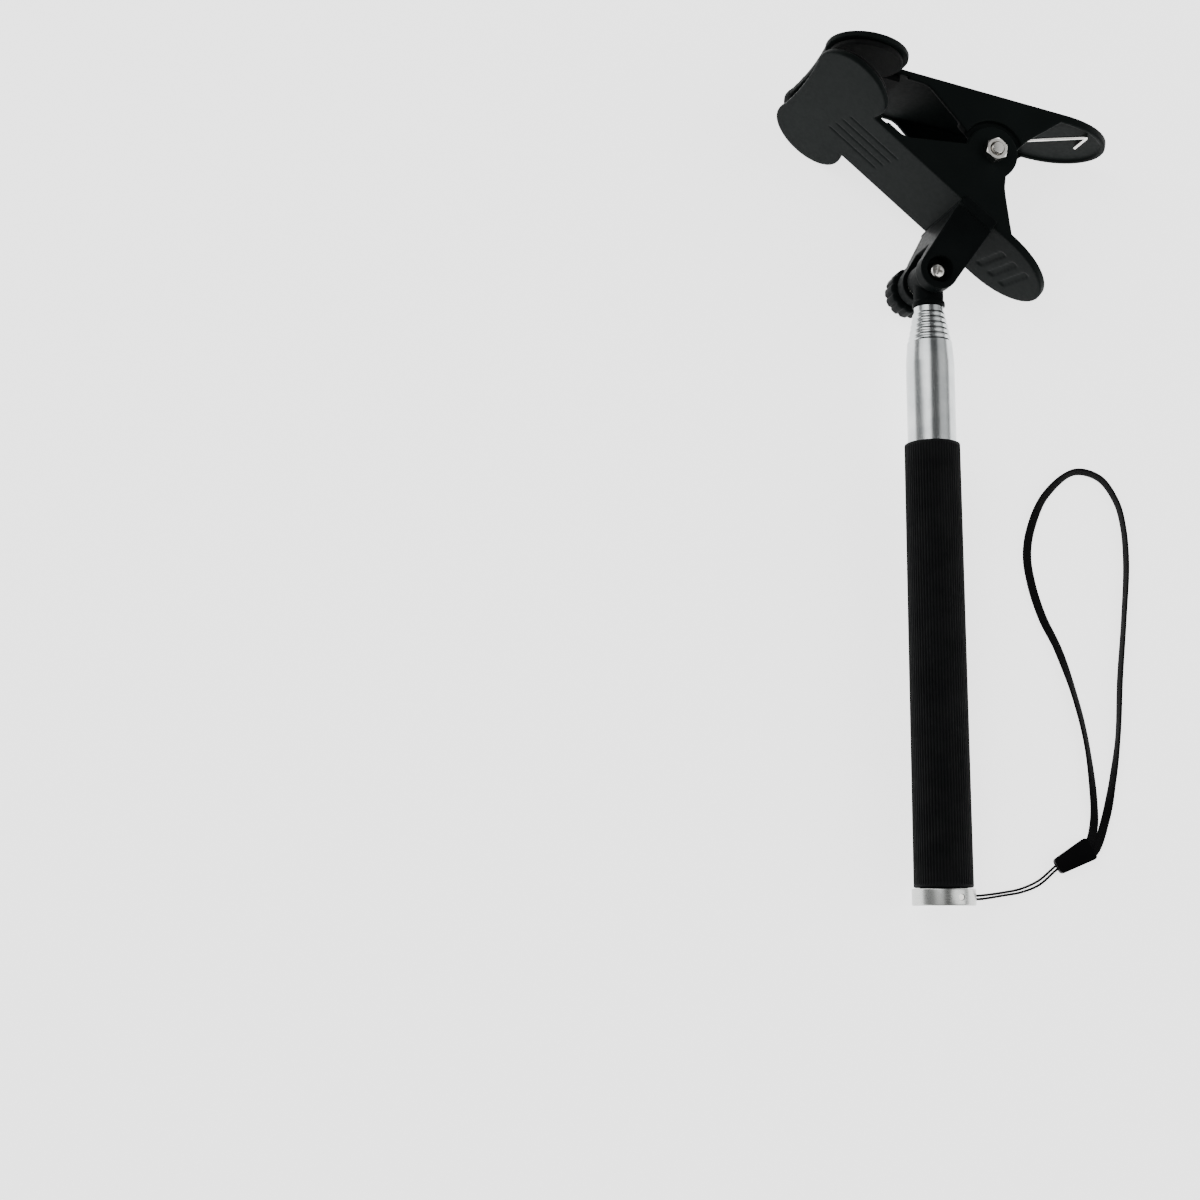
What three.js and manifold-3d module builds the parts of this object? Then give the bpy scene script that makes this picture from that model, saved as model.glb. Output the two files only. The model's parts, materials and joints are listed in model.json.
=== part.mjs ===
// A telescopic hand-held stick with a spring clamp for a head, collapsed and lying on a table.
// Millimetres, +Z up. The pole points along +Y towards the clamp, and the wrist strap lies at its +X side.
//
// The stick is built straight first, in its own frame: +Y along the pole from the end cap's outer face, and
// +Z along the tilt hinge, towards the bolt's head. Its hull then shows how it lies on a flat surface.

import * as THREE from "three";
import { ConvexHull } from "three/addons/math/ConvexHull.js";
import { mergeVertices } from "three/addons/utils/BufferGeometryUtils.js";
import Module from "manifold-3d";

const wasm = await Module();
wasm.setup();

// ---------------------------------------------------------------- sizes

const ROUND = 24; // facets round a tube or shank
const SMALL_ROUND = 16; // facets round a small hole or washer
const ARC = 6; // curve segments per arc of an outline, doubled by three.js
const GAP = 0.3; // clearance between neighbouring pieces
const GLUE = 0.1; // bond line under a glued pad
const FAR = 100; // reach of a cutting tool that has to clear everything

// Pole
const TUBE_COUNT = 7;
const POLE_LENGTH = 230; // end cap's outer face to the neck's skirt
const OUTER_RADIUS = 9.3; // outermost tube
const OUTER_WALL = 0.35;
const OUTER_SHOULDER = 9; // length of its tapered mouth
const SECOND_RADIUS = 7.95; // first sliding tube
const INNER_WALL = 0.2;
const SLIDE_GAP = 0.25; // radial gap between one tube and the next
const LIP_STEP = 2.25; // how far each mouth stands out of the last one
const LIP_HEIGHT = 1.2; // rolled end of a tube
const STAGGER = 6.5; // how much higher each inner tube ends inside
const RING_LENGTH = 4;
const RING_GAP = 0.15; // radial gap on each side of a friction ring
const RING_SLOT = 0.5; // slit in a friction ring
const FLANGE = 0.8; // collar below a friction ring

// Grip
const GRIP_LENGTH = 169;
const GRIP_LOW_WALL = 1.55;
const GRIP_HIGH_WALL = 1.05;
const GRIP_CHAMFER = 0.6;

// End cap
const CAP_STEP = 0.75; // how far its rim stands out of the grip
const CAP_LENGTH = 6.3;
const CAP_SPIGOT = 8;
const CAP_EDGE = 0.4;
const RECESS_RADIUS = 6;
const RECESS_DEPTH = 7;
const LANYARD_HOLE = 1.5; // radius, through the rim
const LANYARD_HEIGHT = 3.1; // above the cap's outer face
const LANYARD_PIN_X = 2.4;
const LANYARD_PIN_RADIUS = 1.1;

// Neck
const NECK_RADIUS = 5.8;
const SKIRT_RADIUS = 6.35;
const SKIRT_HEIGHT = 1.5;
const SPIGOT_LENGTH = 10;
const HINGE_RISE = 11.6; // skirt to the tilt hinge
const TONGUE_HALF = 5.4;
const TONGUE_RADIUS = 6.5;

// Tilt hinge and its bracket, measured from the jaw pivot: along the front jaw and out of it
const HINGE_ALONG = 14;
const HINGE_OUT = 48;
const EAR_RADIUS = 7.75;
const FORK_INNER = 6.6; // half the slot for the tongue
const FORK_OUTER = 13; // half the fork's width at the hinge
const SLOT_CLEAR = 1.3; // slot floor beyond the tongue's end
const FORK_TAPER = 2; // where the taper ends, short of the hinge
const SADDLE_BEHIND = 11.5; // saddle's reach from the hinge towards the head
const SADDLE_AHEAD = 5;
const SADDLE_THICK = 2.2;
const SADDLE_LIP = 1.3;
const HINGE_WASHER_RADIUS = 6;
const HINGE_WASHER = 0.7;
const BOLT_RADIUS = 1.95; // M4
const BOLT_HEAD_RADIUS = 3.2;
const BOLT_HEAD = 2.4;
const COUNTERBORE_RADIUS = 5.1;
const COUNTERBORE_FLOOR = 8.6; // from the middle plane
const BRACKET_SCREW_RADIUS = 1.3;
const BRACKET_SCREW_HEAD = 2.8;
const BRACKET_SCREW_LENGTH = 11;
const BRACKET_SCREW_SPACING = 21;

// Thumb nut
const KNOB_RADIUS = 9.5;
const KNOB_LENGTH = 9.2;
const KNOB_FLUTES = 14;
const KNOB_FLUTE_DEPTH = 0.6;
const KNOB_WASHER_RADIUS = 5.2;
const KNOB_WASHER = 0.8;
const INSERT_RADIUS = 3.6;
const INSERT_LENGTH = 5.5;

// Jaws, measured from the pivot: x along the plate towards the paddle, height out of the plate
const PLATE_HEIGHT = 23.4; // pivot to the plate's outer face
const PLATE = 2.2;
const BODY_HALF = 19.75;
const WALL = 2;
const LOBE_RADIUS = 16;
const LOBE_X = -58;
const LOBE_Z = 26;
const TOP_DIP = 2.2; // how far the head's end dips between its lobes
const NECK_X = -38; // where the side walls begin
const PADDLE_X = 28; // where the paddle's round end begins
const PADDLE_ROUND = 24;
const RIM_DEPTH = 3.2; // paddle's rim, plate included
const WALL_END = 2; // side walls stop short of the paddle's round end
const NECK_DEPTH = 3.1; // side wall at the neck, plate included
const BOSS_RADIUS = 10.4;
const JOG_RADIUS = 12.8; // round recess in the back jaw that clears the front jaw's ears
const JOG_LAYER = 17.2; // inner ear's reach from the pivot
const PIVOT_RADIUS = 2.4; // M5
const PIVOT_NUT_RADIUS = 4.6;
const PIVOT_NUT = 4.2;
const PIVOT_HEAD = 3.4;
const PIVOT_END = 1.2;
const SLEEVE_RADIUS = 3.9;
const PAD = 2.2;
const PAD_INSET = 2;
const PAD_GAP = 0.4; // between the closed pads, at the head's end
const PAD_GROOVES = 5;
const PAD_GROOVE = 0.8;
const PAD_GROOVE_PITCH = 5;
const PAD_GROOVE_WIDTH = 1.4;
const PAD_GROOVE_HALF = 14;
const PLATE_GROOVES = 4;
const PLATE_GROOVE_PITCH = 5.6;
const PLATE_GROOVE_WIDTH = 1;
const PADDLE_GROOVES = 3;
const PADDLE_GROOVE_PITCH = 6;
const PADDLE_GROOVE_WIDTH = 3;
const PADDLE_GROOVE_HALF = 10;
const GROOVE_DEPTH = 0.5;

// Torsion spring
const WIRE_RADIUS = 0.7;
const COIL_RADIUS = 6.2;
const COIL_END_GAP = 1.85; // from the coil's last turn to the inner ears
const COIL_TURNS = 8;
const LEG_X = 40;
const LEG_END_GAP = 1.35; // from a leg's end to the paddle's rim
const FOOT = 12; // bent end of each leg
const LEG_BEND = 1.6;

const TILT = -40; // degrees from +X to the front jaw, in the stick's own frame

// Wrist strap
const STRING_RADIUS = 0.5;
const STRING_TURN = 2.2; // radius of its turn round the pin
const STRING_HALF = 0.65; // half the spacing of its two strands in the hole
const STRAP_WIDTH = 3.4;
const STRAP_THICK = 1.2;
const SLIDER_LENGTH = 15.1;
const SLIDER_LOW = 6.2; // width at the string's end
const SLIDER_HIGH = 9.2; // width at the strap's end
const SLIDER_THICK = 4;
const SLIDER_AT = [32.7, 11.8]; // middle of its string end
const SLIDER_HEADING = 28.8; // degrees from +X

// Where the strap lies on the table, from the point below the cap's lanyard hole.
const STRAP_ROUTE = [
  [47.4, 26.7],
  [48, 35.2],
  [46.4, 58.2],
  [43, 76.2],
  [37.3, 95.7],
  [31.8, 108.7],
  [28.2, 122.2],
  [27.1, 133.7],
  [29.3, 145.2],
  [35.4, 157.7],
  [46.8, 166.7],
  [56.4, 164.2],
  [62.6, 154.7],
  [64.8, 144.7],
  [65.2, 129.7],
  [63.1, 107.2],
  [60.4, 84.2],
  [58.4, 61.7],
  [55.6, 45.2],
  [52, 29.7],
];

const COIL_HALF = BODY_HALF - 2 * WALL - COIL_END_GAP;
const LEG_HALF = insideRim(LEG_X) - LEG_END_GAP;
const GRIP_BORE = OUTER_RADIUS + GAP;
const GRIP_LOW_RADIUS = GRIP_BORE + GRIP_LOW_WALL;
const GRIP_HIGH_RADIUS = GRIP_BORE + GRIP_HIGH_WALL;
const CAP_RADIUS = GRIP_LOW_RADIUS + CAP_STEP;

// ---------------------------------------------------------------- materials

const finish = (colour, roughness, metalness) => ({ color: colour, roughness, metalness });
const PLASTIC = finish(0x232625, 0.45, 0);
const RUBBER = finish(0x151617, 0.85, 0);
const STEEL = finish(0xd5d5d0, 0.25, 1);
const TUBE = finish(0xb9bcbc, 0.3, 1);
const CAP_METAL = finish(0xb4b6b2, 0.35, 1);
const BRASS = finish(0xb99a50, 0.35, 1);
const NYLON = finish(0xdedbd2, 0.6, 0);
const CORD = finish(0x0e0e0f, 0.9, 0);

// ---------------------------------------------------------------- solids

function solidOf(geometry) {
  const bare = geometry.clone();
  bare.deleteAttribute("normal");
  bare.deleteAttribute("uv");
  const merged = mergeVertices(bare, 1e-4);
  return new wasm.Manifold(
    new wasm.Mesh({
      numProp: 3,
      vertProperties: new Float32Array(merged.attributes.position.array),
      triVerts: new Uint32Array(merged.index.array),
    }),
  );
}

function geometryOf(solid) {
  const mesh = solid.getMesh();
  const geometry = new THREE.BufferGeometry();
  geometry.setAttribute("position", new THREE.BufferAttribute(mesh.vertProperties, mesh.numProp));
  geometry.setIndex(new THREE.BufferAttribute(mesh.triVerts, 1));
  geometry.computeVertexNormals();
  return geometry;
}

const join = (first, ...rest) => rest.reduce((whole, piece) => whole.add(piece), first);
const cut = (first, ...tools) => tools.reduce((whole, tool) => whole.subtract(tool), first);

// A prism on an outline in X and Y, from z = low to z = high.
function prism(shape, low, high, segments = ARC) {
  const options = { depth: high - low, bevelEnabled: false, curveSegments: segments };
  const geometry = new THREE.ExtrudeGeometry(shape, options);
  geometry.translate(0, 0, low);
  return solidOf(geometry);
}

// A prism on an outline in X and Z, standing out of the pivot towards -Y from one height to another.
function slab(shape, low, high, segments = ARC) {
  const options = { depth: high - low, bevelEnabled: false, curveSegments: segments };
  const geometry = new THREE.ExtrudeGeometry(shape, options);
  geometry.translate(0, 0, low);
  geometry.rotateX(Math.PI / 2);
  return solidOf(geometry);
}

function block(x0, x1, y0, y1, z0, z1) {
  const geometry = new THREE.BoxGeometry(x1 - x0, y1 - y0, z1 - z0);
  geometry.translate((x0 + x1) / 2, (y0 + y1) / 2, (z0 + z1) / 2);
  return solidOf(geometry);
}

// A round bar along Z.
function bar(radius, low, high, x = 0, y = 0, facets = ROUND) {
  const geometry = new THREE.CylinderGeometry(radius, radius, high - low, facets);
  geometry.rotateX(Math.PI / 2);
  geometry.translate(x, y, (low + high) / 2);
  return solidOf(geometry);
}

function polygon(points) {
  return new THREE.Shape(points.map(([x, y]) => new THREE.Vector2(x, y)));
}

// A body turned about Y; its profile is a closed loop of [radius, y], or starts and ends on the axis.
function turned(profile, facets = ROUND) {
  const points = profile.map(([r, y]) => new THREE.Vector2(r, y));
  return new THREE.LatheGeometry(points, facets);
}

const closedLoop = (profile) => [...profile, profile[0]];

function named(name, geometry, look, density) {
  const mesh = new THREE.Mesh(geometry, new THREE.MeshStandardMaterial(look));
  mesh.name = name;
  mesh.userData.density = density;
  return mesh;
}

// Densities in g/cm3, for finding how the stick lies
const DENSITY = { plastic: 1.15, rubber: 1.2, steel: 7.8, aluminium: 2.7, brass: 8.4, nylon: 1.15 };

// ---------------------------------------------------------------- pole

const tubeRadius = (n) => (n === 1 ? OUTER_RADIUS : SECOND_RADIUS - (n - 2) * (INNER_WALL + SLIDE_GAP));
const tubeBore = (n) => tubeRadius(n) - (n === 1 ? OUTER_WALL : INNER_WALL);
const tubeFoot = (n) => CAP_LENGTH + CAP_SPIGOT + 1.5 + (n - 2) * STAGGER;
const lastTop = POLE_LENGTH - GAP;
const tubeTop = (n) => lastTop - (TUBE_COUNT - n) * LIP_STEP;

function outerTube() {
  const r = OUTER_RADIUS;
  const bore = tubeBore(1);
  const top = tubeTop(1);
  const mouth = SECOND_RADIUS + SLIDE_GAP;
  const profile = closedLoop([
    [bore, CAP_LENGTH + GAP],
    [r, CAP_LENGTH + GAP],
    [r, top - OUTER_SHOULDER],
    [mouth + OUTER_WALL, top - LIP_HEIGHT],
    [mouth + OUTER_WALL - 0.1, top - 0.2],
    [mouth + OUTER_WALL - 0.25, top],
    [mouth, top],
    [mouth, top - LIP_HEIGHT],
    [bore, top - OUTER_SHOULDER],
  ]);
  return named("tube_1", turned(profile), TUBE, DENSITY.aluminium);
}

// A sliding tube: a groove for its friction ring at the foot, and a rolled mouth at the top.
function slidingTube(n) {
  const r = tubeRadius(n);
  const bore = tubeBore(n);
  const foot = tubeFoot(n);
  const top = tubeTop(n);
  const groove = r - 2 * RING_GAP - 0.3;
  const grooveBore = groove - INNER_WALL;
  const shoulder = foot + FLANGE + RING_LENGTH + 2 * GAP;
  const last = n === TUBE_COUNT;
  const lipIn = last ? 0 : 0.12;
  const profile = closedLoop([
    [grooveBore, foot],
    [r, foot],
    [r, foot + FLANGE],
    [groove, foot + FLANGE],
    [groove, shoulder],
    [r, shoulder + 0.4],
    [r, top - LIP_HEIGHT],
    [r - lipIn, top - 0.25],
    [r - lipIn - 0.06, top],
    [bore - lipIn, top],
    [bore, top - LIP_HEIGHT],
    [bore, shoulder + 0.8],
    [grooveBore, shoulder + 0.4],
  ]);
  return named("tube_" + n, turned(profile), TUBE, DENSITY.aluminium);
}

function frictionRing(n) {
  const inner = tubeRadius(n) - RING_GAP - 0.3;
  const outer = tubeBore(n - 1) - RING_GAP;
  const low = tubeFoot(n) + FLANGE + GAP;
  const ring = turned(
    closedLoop([
      [inner, low],
      [outer, low],
      [outer, low + RING_LENGTH],
      [inner, low + RING_LENGTH],
    ]),
  );
  const half = RING_SLOT / 2;
  const slit = block(-half, half, low - 1, low + RING_LENGTH + 1, 0, 2 * outer);
  const split = cut(solidOf(ring), slit);
  return named("friction_ring_" + n, geometryOf(split), BRASS, DENSITY.brass);
}

function gripSleeve() {
  const low = CAP_LENGTH + GAP;
  const high = low + GRIP_LENGTH;
  const bore = GRIP_BORE;
  const profile = closedLoop([
    [bore, low],
    [GRIP_LOW_RADIUS - GRIP_CHAMFER, low],
    [GRIP_LOW_RADIUS, low + GRIP_CHAMFER],
    [GRIP_HIGH_RADIUS, high - GRIP_CHAMFER],
    [GRIP_HIGH_RADIUS - GRIP_CHAMFER, high],
    [bore, high],
  ]);
  return named("grip_sleeve", turned(profile, 2 * ROUND), RUBBER, DENSITY.rubber);
}

function endCap() {
  const spigot = tubeBore(1) - GAP;
  const profile = [
    [0, RECESS_DEPTH],
    [RECESS_RADIUS, RECESS_DEPTH],
    [RECESS_RADIUS, 0],
    [CAP_RADIUS - CAP_EDGE, 0],
    [CAP_RADIUS, CAP_EDGE],
    [CAP_RADIUS, CAP_LENGTH - CAP_EDGE],
    [CAP_RADIUS - CAP_EDGE, CAP_LENGTH],
    [spigot, CAP_LENGTH],
    [spigot, CAP_LENGTH + CAP_SPIGOT],
    [0, CAP_LENGTH + CAP_SPIGOT],
  ];
  const body = solidOf(turned(profile, 2 * ROUND));
  const side = new THREE.CylinderGeometry(LANYARD_HOLE, LANYARD_HOLE, CAP_RADIUS, SMALL_ROUND);
  side.rotateZ(Math.PI / 2);
  side.translate(CAP_RADIUS / 2 + RECESS_RADIUS / 2, LANYARD_HEIGHT, 0);
  const seat = LANYARD_PIN_RADIUS + GAP / 2;
  const seatHole = bar(seat, -CAP_RADIUS - 1, CAP_RADIUS + 1, LANYARD_PIN_X, LANYARD_HEIGHT, SMALL_ROUND);
  const cap = cut(body, solidOf(side), seatHole);
  return named("end_cap", geometryOf(cap), CAP_METAL, DENSITY.aluminium);
}

function lanyardPin() {
  const half = CAP_RADIUS - 1;
  const pin = bar(LANYARD_PIN_RADIUS, -half, half, LANYARD_PIN_X, LANYARD_HEIGHT, SMALL_ROUND);
  return named("lanyard_pin", geometryOf(pin), STEEL, DENSITY.steel);
}

// ---------------------------------------------------------------- neck

const HINGE_Y = POLE_LENGTH + HINGE_RISE;

function neck() {
  const spigot = tubeBore(TUBE_COUNT) - SLIDE_GAP;
  const round = turned([
    [0, POLE_LENGTH - SPIGOT_LENGTH],
    [spigot, POLE_LENGTH - SPIGOT_LENGTH],
    [spigot, POLE_LENGTH],
    [SKIRT_RADIUS, POLE_LENGTH],
    [SKIRT_RADIUS, POLE_LENGTH + SKIRT_HEIGHT],
    [NECK_RADIUS, POLE_LENGTH + SKIRT_HEIGHT + 0.8],
    [NECK_RADIUS, HINGE_Y],
    [0, HINGE_Y],
  ]);
  const tongueTop = HINGE_Y - TONGUE_RADIUS;
  const flat = block(-FAR, FAR, tongueTop, HINGE_Y + 1, TONGUE_HALF, FAR);
  const back = block(-FAR, FAR, tongueTop, HINGE_Y + 1, -FAR, -TONGUE_HALF);
  const eye = bar(TONGUE_RADIUS, -TONGUE_HALF, TONGUE_HALF, 0, HINGE_Y);
  const hole = bar(BOLT_RADIUS + GAP, -FAR, FAR, 0, HINGE_Y, SMALL_ROUND);
  const body = cut(join(cut(solidOf(round), flat, back), eye), hole);
  return named("neck", geometryOf(body), PLASTIC, DENSITY.plastic);
}

// ---------------------------------------------------------------- bracket and tilt hinge, in the front jaw's frame

const HINGE_HEIGHT_Y = -HINGE_OUT;

function bracket() {
  const seat = PLATE_HEIGHT + GAP;
  const span = BODY_HALF + GAP + SADDLE_LIP;
  const x0 = HINGE_ALONG - SADDLE_BEHIND;
  const x1 = HINGE_ALONG + SADDLE_AHEAD;
  const profile = new THREE.Shape();
  profile.moveTo(x1, -seat);
  profile.lineTo(x0, -seat);
  profile.lineTo(HINGE_ALONG - EAR_RADIUS, HINGE_HEIGHT_Y);
  profile.absarc(HINGE_ALONG, HINGE_HEIGHT_Y, EAR_RADIUS, Math.PI, 2 * Math.PI, false);
  const column = prism(profile, -span, span);

  // The same column seen along the jaw: wide at the plate, narrow at the hinge.
  const tail = -(HINGE_OUT + EAR_RADIUS + 1);
  const taperEnd = -(HINGE_OUT - FORK_TAPER);
  const front = polygon([
    [BODY_HALF, -seat + 1],
    [BODY_HALF, -seat - SADDLE_THICK],
    [FORK_OUTER, taperEnd],
    [FORK_OUTER, tail],
    [-FORK_OUTER, tail],
    [-FORK_OUTER, taperEnd],
    [-BODY_HALF, -seat - SADDLE_THICK],
    [-BODY_HALF, -seat + 1],
  ]);
  const across = new THREE.ExtrudeGeometry(front, { depth: 2 * FAR, bevelEnabled: false });
  across.rotateY(Math.PI / 2);
  across.translate(HINGE_ALONG - FAR, 0, 0);
  const fork = column.intersect(solidOf(across));

  const saddle = block(x0, x1, -seat - SADDLE_THICK, -seat, -span, span);
  const hook = PLATE_HEIGHT - PLATE + GAP;
  const hooks = [-1, 1].map((side) => {
    const inner = side * (BODY_HALF + GAP);
    const outer = side * span;
    return block(x0, x1, -seat - SADDLE_THICK / 2, -hook, Math.min(inner, outer), Math.max(inner, outer));
  });

  const slotFloor = -(HINGE_OUT - TONGUE_RADIUS - SLOT_CLEAR);
  const slot = block(x0 - 5, x1 + 5, tail, slotFloor, -FORK_INNER, FORK_INNER);
  const bolt = bar(BOLT_RADIUS + GAP, -span, span, HINGE_ALONG, HINGE_HEIGHT_Y, SMALL_ROUND);
  const bore = bar(COUNTERBORE_RADIUS, COUNTERBORE_FLOOR, span, HINGE_ALONG, HINGE_HEIGHT_Y);
  const spotFace = bar(KNOB_RADIUS + GAP, -span - 1, -FORK_OUTER, HINGE_ALONG, HINGE_HEIGHT_Y);
  const pilots = screwPlaces().map((z) => {
    const pilot = new THREE.CylinderGeometry(
      BRACKET_SCREW_RADIUS + GAP,
      BRACKET_SCREW_RADIUS + GAP,
      BRACKET_SCREW_LENGTH,
      SMALL_ROUND,
    );
    pilot.translate(HINGE_ALONG, -PLATE_HEIGHT - BRACKET_SCREW_LENGTH / 2 + 1, z);
    return solidOf(pilot);
  });
  const body = cut(join(fork, saddle, ...hooks), slot, bolt, bore, spotFace, ...pilots);
  return named("tilt_bracket", geometryOf(body), PLASTIC, DENSITY.plastic);
}

const screwPlaces = () => [BRACKET_SCREW_SPACING / 2, -BRACKET_SCREW_SPACING / 2];

function bracketScrew(number, z) {
  const seat = -(PLATE_HEIGHT - PLATE - GAP);
  const reach = seat - PLATE - BRACKET_SCREW_LENGTH + 3;
  const shank = new THREE.CylinderGeometry(
    BRACKET_SCREW_RADIUS,
    BRACKET_SCREW_RADIUS,
    seat - reach + 0.5,
    SMALL_ROUND,
  );
  shank.translate(HINGE_ALONG, (seat + reach + 0.5) / 2, z);
  const head = new THREE.CylinderGeometry(BRACKET_SCREW_HEAD - 0.6, BRACKET_SCREW_HEAD, 1.7, SMALL_ROUND);
  head.translate(HINGE_ALONG, seat + 0.85, z);
  const screw = join(solidOf(shank), solidOf(head));
  return named("bracket_screw_" + number, geometryOf(screw), STEEL, DENSITY.steel);
}

function hingeWasher(name, side) {
  const inner = TONGUE_HALF + (FORK_INNER - TONGUE_HALF - HINGE_WASHER) / 2;
  const low = side > 0 ? inner : -inner - HINGE_WASHER;
  const ring = bar(HINGE_WASHER_RADIUS, low, low + HINGE_WASHER, HINGE_ALONG, HINGE_HEIGHT_Y);
  const hole = bar(BOLT_RADIUS + GAP, -FAR, FAR, HINGE_ALONG, HINGE_HEIGHT_Y, SMALL_ROUND);
  return named(name, geometryOf(cut(ring, hole)), NYLON, DENSITY.nylon);
}

const KNOB_TOP = -(FORK_OUTER + GAP + KNOB_WASHER + GAP);
const KNOB_BOTTOM = KNOB_TOP - KNOB_LENGTH;

function hingeBolt() {
  const seat = COUNTERBORE_FLOOR + GAP;
  const shank = bar(BOLT_RADIUS, KNOB_BOTTOM + 1.2, seat + 0.5, HINGE_ALONG, HINGE_HEIGHT_Y, SMALL_ROUND);
  const head = new THREE.CylinderGeometry(BOLT_HEAD_RADIUS, BOLT_HEAD_RADIUS, BOLT_HEAD - 0.7, ROUND);
  head.rotateX(Math.PI / 2);
  head.translate(HINGE_ALONG, HINGE_HEIGHT_Y, seat + (BOLT_HEAD - 0.7) / 2);
  const crown = new THREE.CylinderGeometry(BOLT_HEAD_RADIUS * 0.6, BOLT_HEAD_RADIUS, 0.7, ROUND);
  crown.rotateX(Math.PI / 2);
  crown.translate(HINGE_ALONG, HINGE_HEIGHT_Y, seat + BOLT_HEAD - 0.35);
  const top = seat + BOLT_HEAD;
  const long = 1.9;
  const thin = 0.4;
  const x = HINGE_ALONG;
  const y = HINGE_HEIGHT_Y;
  const crossA = block(x - long, x + long, y - thin, y + thin, top - 1.2, top + 1);
  const crossB = block(x - thin, x + thin, y - long, y + long, top - 1.2, top + 1);
  const body = cut(join(shank, solidOf(head), solidOf(crown)), crossA, crossB);
  return named("hinge_bolt", geometryOf(body), STEEL, DENSITY.steel);
}

function knobWasher() {
  const high = -(FORK_OUTER + GAP);
  const ring = bar(KNOB_WASHER_RADIUS, high - KNOB_WASHER, high, HINGE_ALONG, HINGE_HEIGHT_Y);
  const hole = bar(BOLT_RADIUS + GAP, -FAR, FAR, HINGE_ALONG, HINGE_HEIGHT_Y, SMALL_ROUND);
  return named("knob_washer", geometryOf(cut(ring, hole)), STEEL, DENSITY.steel);
}

function knob() {
  const outline = new THREE.Shape();
  const steps = 4 * KNOB_FLUTES;
  for (let i = 0; i < steps; i += 1) {
    const angle = (2 * Math.PI * i) / steps;
    const dip = i % 4 === 0 ? KNOB_FLUTE_DEPTH : 0;
    const x = HINGE_ALONG + (KNOB_RADIUS - dip) * Math.cos(angle);
    const y = HINGE_HEIGHT_Y + (KNOB_RADIUS - dip) * Math.sin(angle);
    if (i === 0) outline.moveTo(x, y);
    else outline.lineTo(x, y);
  }
  const seat = INSERT_RADIUS + GAP;
  const disc = prism(outline, KNOB_BOTTOM, KNOB_TOP);
  const pocket = bar(seat, KNOB_TOP - INSERT_LENGTH - GAP, KNOB_TOP + 1, HINGE_ALONG, HINGE_HEIGHT_Y, 6);
  const hole = bar(BOLT_RADIUS + GAP, -FAR, 0, HINGE_ALONG, HINGE_HEIGHT_Y, SMALL_ROUND);
  return named("thumb_nut", geometryOf(cut(disc, pocket, hole)), PLASTIC, DENSITY.plastic);
}

function knobInsert() {
  const low = KNOB_TOP - INSERT_LENGTH;
  const hex = bar(INSERT_RADIUS, low, KNOB_TOP - GAP / 2, HINGE_ALONG, HINGE_HEIGHT_Y, 6);
  const hole = bar(BOLT_RADIUS + GAP, -FAR, 0, HINGE_ALONG, HINGE_HEIGHT_Y, SMALL_ROUND);
  return named("thumb_nut_insert", geometryOf(cut(hex, hole)), BRASS, DENSITY.brass);
}

// ---------------------------------------------------------------- jaws

// Half the room inside the paddle's rim, at some distance from the pivot.
function insideRim(x) {
  const along = Math.max(0, x - PADDLE_X) / (PADDLE_ROUND - WALL);
  return (BODY_HALF - WALL) * Math.sqrt(1 - along * along);
}

// Outline of a jaw's plate in X and Z, brought in by an inset all round.
function jawOutline(inset) {
  const half = BODY_HALF - inset;
  const r = LOBE_RADIUS - inset;
  const begin = Math.asin((half - LOBE_Z) / r);
  const end = Math.PI + 0.3;
  const middle = LOBE_X - LOBE_RADIUS + inset + TOP_DIP;
  const shape = new THREE.Shape();
  shape.moveTo(PADDLE_X, -half);
  shape.absellipse(PADDLE_X, 0, PADDLE_ROUND - inset, half, -Math.PI / 2, Math.PI / 2, false);
  shape.lineTo(LOBE_X + r * Math.cos(begin), half);
  shape.absarc(LOBE_X, LOBE_Z, r, begin, end, false);
  const tipX = LOBE_X + r * Math.cos(end);
  const tipZ = LOBE_Z + r * Math.sin(end);
  shape.quadraticCurveTo(middle + 0.6, 0, tipX, -tipZ);
  shape.absarc(LOBE_X, -LOBE_Z, r, -end, -begin, false);
  shape.closePath();
  return shape;
}

// Side of a jaw in X and Y, from the plate down to the pivot's boss.
function wallOutline() {
  const plate = -(PLATE_HEIGHT - PLATE / 2);
  const neckEdge = -(PLATE_HEIGHT - NECK_DEPTH);
  const rimEdge = -(PLATE_HEIGHT - RIM_DEPTH);
  return polygon([
    [NECK_X, plate],
    [PADDLE_X - WALL_END, plate],
    [PADDLE_X - WALL_END, rimEdge],
    [BOSS_RADIUS * 1.2, -BOSS_RADIUS * 0.75],
    [BOSS_RADIUS * 0.94, -BOSS_RADIUS * 0.3],
    [0, 0],
    [-BOSS_RADIUS * 0.9, -BOSS_RADIUS * 0.4],
    [NECK_X + 8.2, neckEdge],
    [NECK_X, neckEdge],
  ]);
}

function jawShell() {
  const inner = PLATE_HEIGHT - PLATE;
  const plate = slab(jawOutline(0), inner, PLATE_HEIGHT);
  const ring = jawOutline(0);
  ring.holes.push(jawOutline(WALL));
  const rim = slab(ring, PLATE_HEIGHT - RIM_DEPTH, inner + PLATE / 2);
  const paddleRim = rim.intersect(block(0, FAR, -FAR, FAR, -FAR, FAR));
  const neckRing = slab(ring, PLATE_HEIGHT - NECK_DEPTH, inner + PLATE / 2);
  const neckRim = neckRing.intersect(block(NECK_X, 1, -FAR, FAR, -FAR, FAR));
  return join(plate, paddleRim, neckRim);
}

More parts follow.
